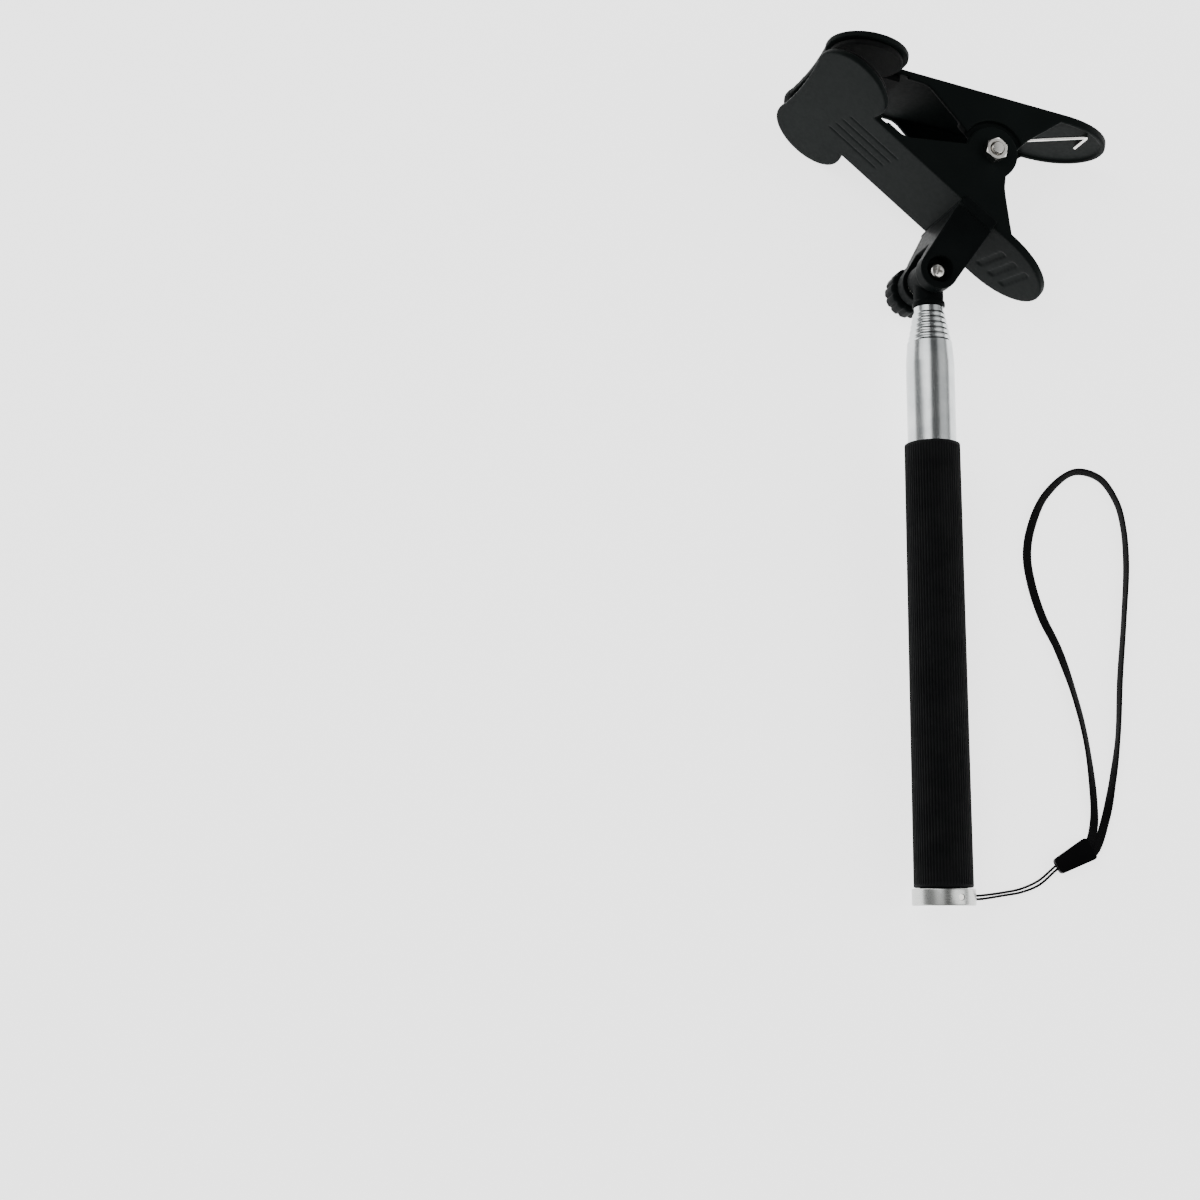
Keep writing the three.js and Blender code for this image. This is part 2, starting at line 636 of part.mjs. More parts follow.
function plateGrooves() {
  const floor = -(PLATE_HEIGHT - GROOVE_DEPTH);
  const grooves = [];
  for (let i = 0; i < PLATE_GROOVES; i += 1) {
    const z = (i - (PLATE_GROOVES - 1) / 2) * PLATE_GROOVE_PITCH;
    const half = PLATE_GROOVE_WIDTH / 2;
    grooves.push(block(LOBE_X + 6, NECK_X + 11, -PLATE_HEIGHT - 1, floor, z - half, z + half));
  }
  for (let i = 0; i < PADDLE_GROOVES; i += 1) {
    const x = PADDLE_X + i * PADDLE_GROOVE_PITCH;
    const half = PADDLE_GROOVE_WIDTH / 2;
    const reach = PADDLE_GROOVE_HALF;
    grooves.push(block(x - half, x + half, -PLATE_HEIGHT - 1, floor, -reach, reach));
  }
  return grooves;
}

const pivotHole = () => bar(PIVOT_RADIUS + GAP, -FAR, FAR, 0, 0, SMALL_ROUND);

function frontJaw() {
  const low = BODY_HALF - WALL;
  const walls = [low, -BODY_HALF].map((z) => prism(wallOutline(), z, z + WALL));
  const bosses = [low, -BODY_HALF].map((z) => bar(BOSS_RADIUS, z, z + WALL));
  const holes = screwPlaces().map((z) => {
    const hole = new THREE.CylinderGeometry(
      BRACKET_SCREW_RADIUS + GAP,
      BRACKET_SCREW_RADIUS + GAP,
      3 * PLATE,
      SMALL_ROUND,
    );
    hole.translate(HINGE_ALONG, -PLATE_HEIGHT, z);
    return solidOf(hole);
  });
  const body = cut(join(jawShell(), ...walls, ...bosses), pivotHole(), ...plateGrooves(), ...holes);
  return named("front_jaw", geometryOf(body), PLASTIC, DENSITY.plastic);
}

// The back jaw's ears stand inside the front jaw's, and its walls are recessed round them.
function backJaw() {
  const outer = BODY_HALF;
  const step = BODY_HALF - WALL - GAP;
  const inner = step - WALL;
  const sides = [1, -1].map((side) => {
    const z = (a, b) => [Math.min(side * a, side * b), Math.max(side * a, side * b)];
    const wall = prism(wallOutline(), ...z(outer - WALL, outer));
    const layer = prism(wallOutline(), ...z(inner, outer)).intersect(bar(JOG_LAYER, ...z(inner, outer)));
    const recess = bar(JOG_RADIUS, ...z(step, outer + 1));
    const boss = bar(BOSS_RADIUS, ...z(inner, step));
    return join(cut(join(wall, layer), recess), boss);
  });
  const body = cut(join(jawShell(), ...sides), pivotHole(), ...plateGrooves());
  return named("back_jaw", geometryOf(body), PLASTIC, DENSITY.plastic);
}

function jawPad(name) {
  const seat = PLATE_HEIGHT - PLATE - GLUE;
  const low = seat - PAD;
  const full = slab(jawOutline(PAD_INSET), low, seat);
  const head = full.intersect(block(-FAR, NECK_X - 3, -FAR, FAR, -FAR, FAR));
  const grooves = [];
  for (let i = 0; i < PAD_GROOVES; i += 1) {
    const x = LOBE_X + (i - (PAD_GROOVES - 1) / 2) * PAD_GROOVE_PITCH - PAD_GROOVE_WIDTH / 2;
    const floor = -low - PAD_GROOVE;
    grooves.push(block(x, x + PAD_GROOVE_WIDTH, floor, -low + 1, -PAD_GROOVE_HALF, PAD_GROOVE_HALF));
  }
  return named(name, geometryOf(cut(head, ...grooves)), RUBBER, DENSITY.rubber);
}

function pivotBolt() {
  const under = -(BODY_HALF + GAP);
  const end = BODY_HALF + GAP + PIVOT_NUT + PIVOT_END;
  const shank = bar(PIVOT_RADIUS, under - 0.5, end, 0, 0, SMALL_ROUND);
  const head = bar(PIVOT_NUT_RADIUS, under - PIVOT_HEAD, under, 0, 0, 6);
  return named("pivot_bolt", geometryOf(join(shank, head)), STEEL, DENSITY.steel);
}

function pivotNut() {
  const low = BODY_HALF + GAP;
  const hex = bar(PIVOT_NUT_RADIUS, low, low + PIVOT_NUT, 0, 0, 6);
  return named("pivot_nut", geometryOf(cut(hex, pivotHole())), STEEL, DENSITY.steel);
}

function spacerSleeve() {
  const half = BODY_HALF - 2 * WALL - 2 * GAP;
  const sleeve = cut(bar(SLEEVE_RADIUS, -half, half), pivotHole());
  return named("spacer_sleeve", geometryOf(sleeve), NYLON, DENSITY.nylon);
}

// Half the angle between the plates when the pads close on each other at the head's end.
const padReach = Math.abs(LOBE_X) + LOBE_RADIUS - PAD_INSET;
const padFace = PLATE_HEIGHT - PLATE - GLUE - PAD;
const JAW_HALF_ANGLE =
  Math.acos(PAD_GAP / 2 / Math.hypot(padReach, padFace)) - Math.atan2(padReach, padFace);

// ---------------------------------------------------------------- torsion spring

class SpringPath extends THREE.Curve {
  constructor(points) {
    super();
    this.points = points;
    this.lengths = [0];
    for (let i = 1; i < points.length; i += 1) {
      this.lengths.push(this.lengths[i - 1] + points[i].distanceTo(points[i - 1]));
    }
  }

  getPoint(t, target = new THREE.Vector3()) {
    const along = t * this.lengths[this.lengths.length - 1];
    let i = 1;
    while (i < this.points.length - 1 && this.lengths[i] < along) i += 1;
    const share = (along - this.lengths[i - 1]) / (this.lengths[i] - this.lengths[i - 1]);
    return target.lerpVectors(this.points[i - 1], this.points[i], share);
  }
}

// Wire centre line in the clamp's frame: X along the middle plane towards the paddles, the back jaw at +Y.
function springPoints() {
  const height = PLATE_HEIGHT - PLATE - GAP - WIRE_RADIUS;
  const a = JAW_HALF_ANGLE;
  const tip = new THREE.Vector2(
    LEG_X * Math.cos(a) - height * Math.sin(a),
    LEG_X * Math.sin(a) + height * Math.cos(a),
  );
  const leave = Math.atan2(tip.y, tip.x) + Math.acos(COIL_RADIUS / tip.length());
  const sweep = 2 * (Math.PI - leave) + 2 * Math.PI * COIL_TURNS;
  const steps = 12 * COIL_TURNS;
  const coil = [];
  for (let i = 0; i <= steps; i += 1) {
    const angle = leave + (sweep * i) / steps;
    const z = COIL_HALF * (1 - (2 * i) / steps);
    coil.push(new THREE.Vector3(COIL_RADIUS * Math.cos(angle), COIL_RADIUS * Math.sin(angle), z));
  }
  const knee = new THREE.Vector3(tip.x, tip.y, COIL_HALF).lerp(coil[0], 0.5);
  const bend = LEG_BEND;
  const foot = [
    new THREE.Vector3(tip.x, tip.y, LEG_HALF - FOOT),
    new THREE.Vector3(tip.x, tip.y, LEG_HALF - bend),
    new THREE.Vector3(tip.x - 0.3 * bend, tip.y - 0.25 * bend, LEG_HALF - 0.3 * bend),
    new THREE.Vector3(tip.x - bend, tip.y - 0.8 * bend, LEG_HALF),
    new THREE.Vector3(knee.x, knee.y, (COIL_HALF + LEG_HALF) / 2),
  ];
  const mirror = (p) => new THREE.Vector3(p.x, -p.y, -p.z);
  return [...foot, ...coil, ...foot.map(mirror).reverse()];
}

function torsionSpring() {
  const path = new SpringPath(springPoints());
  const section = new THREE.Shape();
  section.absarc(0, 0, WIRE_RADIUS, 0, 2 * Math.PI, false);
  const steps = Math.round(path.lengths[path.lengths.length - 1] / 3);
  const options = { steps, extrudePath: path, bevelEnabled: false, curveSegments: 3 };
  const wire = new THREE.ExtrudeGeometry(section, options);
  return named("torsion_spring", wire, STEEL, DENSITY.steel);
}

// ---------------------------------------------------------------- clamp

function clampGroup() {
  const half = JAW_HALF_ANGLE;
  const front = new THREE.Group();
  front.add(frontJaw(), jawPad("front_pad"), bracket());
  screwPlaces().forEach((z, i) => front.add(bracketScrew(i + 1, z)));
  front.add(hingeBolt(), knobWasher(), knob(), knobInsert());
  front.add(hingeWasher("hinge_washer_1", 1), hingeWasher("hinge_washer_2", -1));
  front.add(pivotBolt(), pivotNut(), spacerSleeve());

  // The back jaw is the front one turned over about the clamp's middle plane.
  const back = new THREE.Group();
  back.rotation.set(Math.PI, 0, 0);
  back.add(backJaw(), jawPad("back_pad"));
  const backTilt = new THREE.Group();
  backTilt.rotation.z = 2 * half;
  backTilt.add(back);
  const springTilt = new THREE.Group();
  springTilt.rotation.z = half;
  springTilt.add(torsionSpring());

  // Hung on the hinge: the pivot stands back from it, along the front jaw and into the clamp.
  const clamp = new THREE.Group();
  const arm = new THREE.Group();
  arm.position.set(-HINGE_ALONG, HINGE_OUT, 0);
  arm.add(front, backTilt, springTilt);
  clamp.add(arm);
  clamp.rotation.z = THREE.MathUtils.degToRad(TILT);
  clamp.position.set(0, HINGE_Y, 0);
  return clamp;
}

// ---------------------------------------------------------------- lying on a table

// Volume-weighted middle of the stick and every corner of it, in its own frame.
function massAndCorners(group) {
  group.updateMatrixWorld(true);
  const middle = new THREE.Vector3();
  const corners = [];
  let mass = 0;
  group.traverse((mesh) => {
    if (!mesh.isMesh) return;
    const flat = mesh.geometry.index ? mesh.geometry.toNonIndexed() : mesh.geometry;
    const spots = flat.getAttribute("position");
    const at = (i) => new THREE.Vector3().fromBufferAttribute(spots, i).applyMatrix4(mesh.matrixWorld);
    for (let i = 0; i < spots.count; i += 3) {
      const [a, b, c] = [at(i), at(i + 1), at(i + 2)];
      const share = (a.dot(b.clone().cross(c)) / 6) * mesh.userData.density;
      mass += share;
      middle.addScaledVector(a.clone().add(b).add(c), share / 4);
      corners.push(a, b, c);
    }
  });
  return { middle: middle.divideScalar(mass), corners };
}

// The hull's face that the stick rests on: the one under its middle, of those that face down enough.
function restingNormal(group, down) {
  const { middle, corners } = massAndCorners(group);
  const hull = new ConvexHull().setFromPoints(corners);
  let best = null;
  let bestDepth = Infinity;
  hull.faces.forEach((face) => {
    const normal = face.normal;
    const facing = normal.dot(down);
    if (facing < 0.8) return;
    const depth = face.constant - normal.dot(middle);
    if (depth < bestDepth) {
      bestDepth = depth;
      best = normal;
    }
  });
  return best.clone();
}

function layDown(stick) {
  const down = new THREE.Vector3(0.17, -0.08, -1).normalize();
  const normal = restingNormal(stick, down);
  const turn = new THREE.Quaternion().setFromUnitVectors(normal, new THREE.Vector3(0, 0, -1));
  const pole = new THREE.Vector3(0, 1, 0).applyQuaternion(turn);
  const yaw = Math.atan2(pole.x, pole.y);
  const spin = new THREE.Quaternion().setFromAxisAngle(new THREE.Vector3(0, 0, 1), yaw);
  stick.quaternion.copy(spin.multiply(turn));
  stick.updateMatrixWorld(true);
  const box = new THREE.Box3().setFromObject(stick, true);
  const centre = box.getCenter(new THREE.Vector3());
  stick.position.set(-centre.x, -centre.y, -box.min.z);
}

// ---------------------------------------------------------------- wrist strap, in the table's frame

// A cord along a smooth line through some points; its section is half-thick by half-wide.
function cordMesh(name, points, halfThick, halfWide, steps, density) {
  const path = new THREE.CatmullRomCurve3(points, false, "centripetal");
  path.arcLengthDivisions = 8 * steps;
  const section = new THREE.Shape();
  for (let i = 0; i < 8; i += 1) {
    const angle = (Math.PI * (i + 0.5)) / 4;
    const x = halfThick * Math.cos(angle) * CORD_SWELL;
    const y = halfWide * Math.sin(angle) * CORD_SWELL;
    if (i === 0) section.moveTo(x, y);
    else section.lineTo(x, y);
  }
  const options = { steps, extrudePath: path, bevelEnabled: false };
  return named(name, new THREE.ExtrudeGeometry(section, options), CORD, density);
}

const CORD_SWELL = 1 / Math.cos(Math.PI / 8); // lets an eight-sided section reach its full width

// The slider's own frame on the table: X along it from its string end, Z up, origin at its middle height.
function sliderFrame(exit) {
  const frame = new THREE.Group();
  frame.position.set(exit.x + SLIDER_AT[0], exit.y + SLIDER_AT[1], GAP + SLIDER_THICK / 2);
  frame.rotation.z = THREE.MathUtils.degToRad(SLIDER_HEADING);
  frame.updateMatrixWorld(true);
  return frame;
}

function strapSlider() {
  const outline = polygon([
    [0, -SLIDER_LOW / 2 + 1],
    [1, -SLIDER_LOW / 2],
    [SLIDER_LENGTH - 1, -SLIDER_HIGH / 2],
    [SLIDER_LENGTH, -SLIDER_HIGH / 2 + 1],
    [SLIDER_LENGTH, SLIDER_HIGH / 2 - 1],
    [SLIDER_LENGTH - 1, SLIDER_HIGH / 2],
    [1, SLIDER_LOW / 2],
    [0, SLIDER_LOW / 2 - 1],
  ]);
  const body = prism(outline, -SLIDER_THICK / 2, SLIDER_THICK / 2);
  const strapHalf = STRAP_WIDTH + 1.5 * GAP;
  const strapRoom = STRAP_THICK / 2 + GAP;
  const strapMouth = block(SLIDER_LENGTH / 2, FAR, -strapHalf, strapHalf, -strapRoom, strapRoom);
  const stringHalf = STRING_HALF + STRING_RADIUS + GAP;
  const stringRoom = STRING_RADIUS + GAP;
  const stringMouth = block(-FAR, SLIDER_LENGTH / 3, -stringHalf, stringHalf, -stringRoom, stringRoom);
  const slider = cut(body, strapMouth, stringMouth);
  return named("strap_slider", geometryOf(slider), PLASTIC, DENSITY.plastic);
}

// One flat strap, both ends held side by side in the slider.
function strapLoop(frame, exit) {
  const lane = (STRAP_WIDTH + GAP) / 2;
  const inside = (x, y) => frame.localToWorld(new THREE.Vector3(x, y, 0));
  const lie = STRAP_THICK / 2 + GAP;
  const flat = STRAP_ROUTE.map(([x, y]) => new THREE.Vector3(exit.x + x, exit.y + y, lie));
  const start = [inside(SLIDER_LENGTH - 5, lane), inside(SLIDER_LENGTH, lane)];
  const end = [inside(SLIDER_LENGTH, -lane), inside(SLIDER_LENGTH - 5, -lane)];
  const points = [...start, ...flat, ...end];
  return cordMesh("strap_loop", points, STRAP_THICK / 2, STRAP_WIDTH / 2, 72, DENSITY.nylon);
}

// One string: out of the slider, through the cap's side hole, round the pin and back.
function lanyardString(frame, stick, exit) {
  const inSlider = (x, y) => frame.localToWorld(new THREE.Vector3(x, y, 0));
  const inCap = (x, y) => stick.localToWorld(new THREE.Vector3(x, LANYARD_HEIGHT + y, 0));
  const onTable = (x, y, z) => new THREE.Vector3(exit.x + x, exit.y + y, z);
  const lie = STRING_RADIUS + GAP;
  const turn = [67, 97, 127, 157, 203, 233, 263, 293].map((degrees) => {
    const angle = THREE.MathUtils.degToRad(degrees);
    return inCap(LANYARD_PIN_X + STRING_TURN * Math.cos(angle), STRING_TURN * Math.sin(angle));
  });
  const points = [
    inSlider(3, STRING_HALF),
    inSlider(0, STRING_HALF),
    onTable(26, 7, lie + 0.3),
    onTable(19, 3.8, lie + 1.2),
    onTable(12, 2.2, exit.z * 0.5),
    inCap(CAP_RADIUS + 2, STRING_HALF),
    inCap(CAP_RADIUS - 1, STRING_HALF),
    inCap(RECESS_RADIUS + GAP, STRING_HALF),
    ...turn,
    inCap(RECESS_RADIUS + GAP, -STRING_HALF),
    inCap(CAP_RADIUS - 1, -STRING_HALF),
    inCap(CAP_RADIUS + 2, -STRING_HALF),
    onTable(12, 1.1, exit.z * 0.5),
    onTable(19, 2.5, lie + 1),
    onTable(26, 5.3, lie),
    inSlider(0, -STRING_HALF),
    inSlider(3, -STRING_HALF),
  ];
  return cordMesh("lanyard_string", points, STRING_RADIUS, STRING_RADIUS, 76, DENSITY.nylon);
}

function wristStrap(stick) {
  const exit = stick.localToWorld(new THREE.Vector3(CAP_RADIUS, LANYARD_HEIGHT, 0));
  const frame = sliderFrame(exit);
  const slider = strapSlider();
  frame.add(slider);
  const strap = new THREE.Group();
  strap.add(frame, strapLoop(frame, exit), lanyardString(frame, stick, exit));
  return strap;
}

// ---------------------------------------------------------------- assembly

const stick = new THREE.Group();
stick.add(gripSleeve(), outerTube(), endCap(), lanyardPin());
for (let n = 2; n <= TUBE_COUNT; n += 1) {
  stick.add(slidingTube(n), frictionRing(n));
}
stick.add(neck(), clampGroup());
layDown(stick);

const group = new THREE.Group();
group.add(stick, wristStrap(stick));

export default group;
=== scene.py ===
import json
import math

import bmesh
import bpy
from mathutils import Matrix, Vector


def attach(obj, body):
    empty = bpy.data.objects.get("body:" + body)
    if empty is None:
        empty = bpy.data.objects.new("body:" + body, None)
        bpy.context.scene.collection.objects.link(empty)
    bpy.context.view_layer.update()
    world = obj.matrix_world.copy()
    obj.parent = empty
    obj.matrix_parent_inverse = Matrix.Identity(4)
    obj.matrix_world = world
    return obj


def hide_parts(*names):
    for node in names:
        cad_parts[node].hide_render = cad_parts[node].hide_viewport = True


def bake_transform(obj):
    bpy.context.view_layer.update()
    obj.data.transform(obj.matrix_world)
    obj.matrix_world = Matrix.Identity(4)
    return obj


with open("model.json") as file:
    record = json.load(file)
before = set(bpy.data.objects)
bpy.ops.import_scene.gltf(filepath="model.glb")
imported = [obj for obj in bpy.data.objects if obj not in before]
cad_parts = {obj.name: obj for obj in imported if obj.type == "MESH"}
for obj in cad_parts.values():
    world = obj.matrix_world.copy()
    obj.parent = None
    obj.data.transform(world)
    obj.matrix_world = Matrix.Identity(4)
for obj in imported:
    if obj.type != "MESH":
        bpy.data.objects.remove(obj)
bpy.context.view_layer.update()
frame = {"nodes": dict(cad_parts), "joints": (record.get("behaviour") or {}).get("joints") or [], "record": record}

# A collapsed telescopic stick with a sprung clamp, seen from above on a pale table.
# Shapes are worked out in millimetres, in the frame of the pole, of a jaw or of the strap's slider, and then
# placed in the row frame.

joints = {joint["name"]: joint for joint in frame["joints"]}
mounts = {mount["name"]: mount for mount in frame["record"]["mounts"]}
TAU = 2 * math.pi
MM = 0.001

# -------- sizes, as in the CAD model

GAP = 0.3
POLE_LENGTH = 230
TUBE_COUNT = 7
OUTER_RADIUS = 9.3
OUTER_WALL = 0.35
OUTER_SHOULDER = 9
SECOND_RADIUS = 7.95
INNER_WALL = 0.2
SLIDE_GAP = 0.25
LIP_STEP = 2.25
LIP_HEIGHT = 1.2
STAGGER = 6.5
GRIP_LENGTH = 169
GRIP_LOW_RADIUS = 11.15
GRIP_HIGH_RADIUS = 10.65
CAP_RADIUS = 11.9
CAP_LENGTH = 6.3
CAP_SPIGOT = 8
TUBE_FOOT = 1.5
RECESS_RADIUS = 6
RECESS_DEPTH = 7
LANYARD_HOLE = 1.5
LANYARD_HEIGHT = 3.1
LANYARD_PIN_X = 2.4
LANYARD_PIN_RADIUS = 1.1
NECK_RADIUS = 5.8
SKIRT_RADIUS = 6.35
SKIRT_HEIGHT = 1.5
SPIGOT_LENGTH = 10
HINGE_RISE = 11.6
TONGUE_HALF = 5.4
TONGUE_RADIUS = 6.5
HINGE_ALONG = 14
HINGE_OUT = 48
EAR_RADIUS = 7.75
FORK_INNER = 6.6
FORK_OUTER = 13
SLOT_CLEAR = 1.3
SADDLE_BEHIND = 11.5
SADDLE_AHEAD = 5
SADDLE_THICK = 2.2
SADDLE_LIP = 1.3
BOLT_RADIUS = 1.95
BOLT_HEAD_RADIUS = 3.2
BOLT_HEAD = 2.4
COUNTERBORE_RADIUS = 5.1
COUNTERBORE_FLOOR = 8.6
SCREW_HOLE = 1.6
SCREW_SPACING = 21
SCREW_PLACES = (SCREW_SPACING / 2, -SCREW_SPACING / 2)
KNOB_RADIUS = 9.5
KNOB_LENGTH = 9.2
KNOB_FLUTES = 14
KNOB_WASHER = 0.8
INSERT_RADIUS = 3.6
INSERT_LENGTH = 5.5
PLATE_HEIGHT = 23.4
PLATE = 2.2
BODY_HALF = 19.75
WALL = 2
LOBE_RADIUS = 16
LOBE_X = -58
LOBE_Z = 26
TOP_DIP = 2.2
NECK_X = -38
PADDLE_X = 28
PADDLE_ROUND = 24
RIM_DEPTH = 3.2
WALL_END = 2
PLATE_GROOVES = 4
PLATE_GROOVE_PITCH = 5.6
PADDLE_GROOVES = 3
PADDLE_GROOVE_PITCH = 6
PADDLE_GROOVE_WIDTH = 3
PADDLE_GROOVE_HALF = 10
NECK_DEPTH = 3.1
BOSS_RADIUS = 10.4
JOG_RADIUS = 12.8
JOG_LAYER = 17.2
PIVOT_RADIUS = 2.4
PIVOT_NUT_RADIUS = 4.6
PIVOT_NUT = 4.2
PIVOT_HEAD = 3.4
PIVOT_END = 1.2
GLUE = 0.1
PAD = 2.2
PAD_INSET = 2
PAD_GAP = 0.4
PAD_GROOVES = 5
PAD_GROOVE = 0.8
PAD_GROOVE_PITCH = 5
PAD_GROOVE_WIDTH = 1.4
PAD_GROOVE_HALF = 14
WIRE_RADIUS = 0.7
COIL_RADIUS = 6.2
COIL_TURNS = 8
COIL_END_GAP = 1.85
COIL_HALF = BODY_HALF - 2 * WALL - COIL_END_GAP
LEG_X = 40
LEG_END_GAP = 1.35
LEG_ALONG = (LEG_X - PADDLE_X) / (PADDLE_ROUND - WALL)
LEG_HALF = (BODY_HALF - WALL) * math.sqrt(1 - LEG_ALONG**2) - LEG_END_GAP
FOOT = 12
LEG_BEND = 1.6
FAR = 100  # how far a cut or a box reaches, past the edge of what it cuts

# Details that only the looks have
MOUTH_RIM = 0.1
BEAD = 0.16
BEAD_LIP = 0.1
GRIP_RIBS = 60
RIB_DEPTH = 0.42
RIB_SAMPLES = 6
GRIP_BAND = 0.9  # plain band at each end
GRIP_STATIONS = 12
PLATE_GROOVE_DEPTH = 0.42
PLATE_GROOVE_WIDTH = 0.7
PLATE_GROOVE_START = -54
PLATE_GROOVE_STEP = 1.2  # from where one starts to where the next does
PLATE_GROOVE_LENGTH = 25
PADDLE_GROOVE_DEPTH = 0.45
CROSS_HALF = 1.75
CROSS_THIN = 0.42
CROSS_DEPTH = 1.3
CROSS_TURN = 20  # degrees
FLUTE_DEPTH = 0.6
JAW_VOXEL = 0.4
WIRE_SIDES = 14

# Wrist strap
STRING_DIAMETER = 1.0
STRING_TURN = 2.2
STRING_HALF = 0.65  # from the middle of one strand to the line between them
STRING_TWIST = 4.0  # length of one turn
STRING_IN_SLIDER = 3
STRAP_WIDTH = 3.4
STRAP_THICK = 1.2
STRAP_LIFT = 0.92  # share of the rolled strap's half height that its middle is lifted by
STRAP_IN_SLIDER = 5
WEFT_PITCH = 1.1
SLIDER_LENGTH = 15.1
SLIDER_LOW = 6.2
SLIDER_HIGH = 9.2
SLIDER_THICK = 4
SLIDER_AT = (32.7, 11.8)
SLIDER_HEADING = 28.8

# Where the strap lies on the table, from the point below the cap's lanyard hole
STRAP_ROUTE = [
    (47.4, 26.7), (48, 35.2), (46.4, 58.2), (43, 76.2), (37.3, 95.7),
    (31.8, 108.7), (28.2, 122.2), (27.1, 133.7), (29.3, 145.2), (35.4, 157.7),
    (46.8, 166.7), (56.4, 164.2), (62.6, 154.7), (64.8, 144.7), (65.2, 129.7),
    (63.1, 107.2), (60.4, 84.2), (58.4, 61.7), (55.6, 45.2), (52, 29.7),
]
# How far it is turned from flat at each of those points, in degrees
STRAP_ROLL = [10, 30, 50, 45, 20, 5, 0, 0, 15, 38, 60, 66, 70, 70, 66, 72, 68, 74, 55, 20]

# -------- frames


def frame_matrix(origin, y_axis, z_axis):
    """Millimetres in a local frame to metres in the row frame."""
    y = Vector(y_axis).normalized()
    z = (Vector(z_axis) - y * Vector(z_axis).dot(y)).normalized()
    x = y.cross(z)
    turn = Matrix((x, y, z)).transposed().to_4x4()
    return Matrix.Translation(Vector(origin)) @ turn @ Matrix.Scale(MM, 4)


hinge_axis = Vector(joints["tilt"]["axis"])
pole_axis = Vector(joints["slide_2"]["axis"])
neck_end = Vector(joints["head_turn"]["pos_m"])
pivot = Vector(joints["jaw_open"]["pos_m"])
POLE = frame_matrix(neck_end - pole_axis * POLE_LENGTH * MM, pole_axis, hinge_axis)
FRONT = frame_matrix(pivot, mounts["front_pad_face"]["axis"], hinge_axis)
BACK = frame_matrix(pivot, mounts["back_pad_face"]["axis"], -hinge_axis)
TABLE = Matrix.Scale(MM, 4)

# -------- camera

CAMERA_AT = Vector((-0.1200, -0.2203, 0.7969))
CAMERA_AIM = Vector((-0.1368, -0.0422, 0))
CAMERA_LENS = 62.64


def make_camera():
    data = bpy.data.cameras.new("camera")
    data.lens = CAMERA_LENS
    data.sensor_width = 36
    camera = bpy.data.objects.new("camera", data)
    bpy.context.scene.collection.objects.link(camera)
    ahead = (CAMERA_AIM - CAMERA_AT).normalized()
    right = ahead.cross(Vector((0, 1, 0))).normalized()
    up = right.cross(ahead)
    turn = Matrix((right, up, -ahead)).transposed().to_4x4()
    camera.matrix_world = Matrix.Translation(CAMERA_AT) @ turn
    bpy.context.scene.camera = camera


make_camera()

# -------- mesh tools


def object_from(name, verts, faces, place):
    mesh = bpy.data.meshes.new(name)
    mesh.from_pydata([tuple(v) for v in verts], [], faces)
    mesh.validate()
    if place is not None:
        mesh.transform(place)
    mesh.update()
    obj = bpy.data.objects.new(name, mesh)
    bpy.context.scene.collection.objects.link(obj)
    return obj


def finished(obj, angle=35):
    """Smooth shading, broken where faces meet at more than an angle."""
    mesh = obj.data
    mesh.polygons.foreach_set("use_smooth", [True] * len(mesh.polygons))
    mesh.set_sharp_from_angle(angle=math.radians(angle))
    mesh.update()
    return obj


def rings(loops, closed=False):
    """Verts and faces of a skin over loops of points that all have the same count."""
    count = len(loops[0])
    verts = [p for loop in loops for p in loop]
    faces = []
    spans = len(loops) if closed else len(loops) - 1
    for i in range(spans):
        a = i * count
        b = ((i + 1) % len(loops)) * count
        for k in range(count):
            n = (k + 1) % count
            faces.append((a + k, a + n, b + n, b + k))
    if not closed:
        faces.append(tuple(reversed(range(count))))
        faces.append(tuple(range(len(verts) - count, len(verts))))
    return verts, faces


def circle(radius, y, segments, ripple=None):
    """A loop about Y; ripple takes an angle and gives a change of radius."""
    points = []
    for k in range(segments):
        angle = -TAU * k / segments
        r = radius + (ripple(angle) if ripple else 0)
        points.append(Vector((r * math.cos(angle), y, r * math.sin(angle))))
    return points


def softened(profile, radius, steps=4, closed=True):
    """A polygon with each corner rounded, as far as its sides allow."""
    points = [Vector((a, b)) for a, b in profile]
    out = []
    count = len(points)
    for i, p in enumerate(points):
        if not closed and i in (0, count - 1):
            out.append(p)
            continue
        before = points[i - 1] - p
        after = points[(i + 1) % count] - p
        reach = min(radius, 0.45 * before.length, 0.45 * after.length)
        a = p + before.normalized() * reach
        b = p + after.normalized() * reach
        for k in range(steps + 1):
            t = k / steps
            out.append(a.lerp(p, t).lerp(p.lerp(b, t), t))
    return out


def turned(profile, segments=96, radius=0.15, ripple=None, closed=True):
    """A body turned about Y; a closed profile is a ring, an open one starts and ends near the axis."""
    soft = softened(profile, radius, closed=closed)
    loops = [circle(max(p.x, 0.02), p.y, segments, ripple) for p in soft]
    return rings(loops, closed=closed)


def standing(outline, height):
    """A loop of an outline in X and Z, at a height towards -Y."""
    return [Vector((x, -height, z)) for x, z in outline]


def prism(outline, low, high, along="z"):
    """An outline in X and Y extruded along Z, or in X and Z standing out towards -Y."""
    if along == "z":
        return rings([[Vector((x, y, h)) for x, y in outline] for h in (low, high)])
    return rings([standing(outline, h) for h in (low, high)])


def block(x0, x1, y0, y1, z0, z1):
    return prism([(x0, y0), (x1, y0), (x1, y1), (x0, y1)], z0, z1)


def round_outline(radius, x=0, y=0, segments=64):
    turn = [TAU * k / segments for k in range(segments)]
    return [(x + radius * math.cos(a), y + radius * math.sin(a)) for a in turn]


def bar(radius, low, high, x=0, y=0, segments=64):
    return prism(round_outline(radius, x, y, segments), low, high)


def peg(radius, y0, y1, x=0, z=0, segments=32):
    """A round bar along Y."""
    outline = [(x + a, z + b) for a, b in round_outline(radius, segments=segments)]
    return prism(outline, -y1, -y0, along="y")


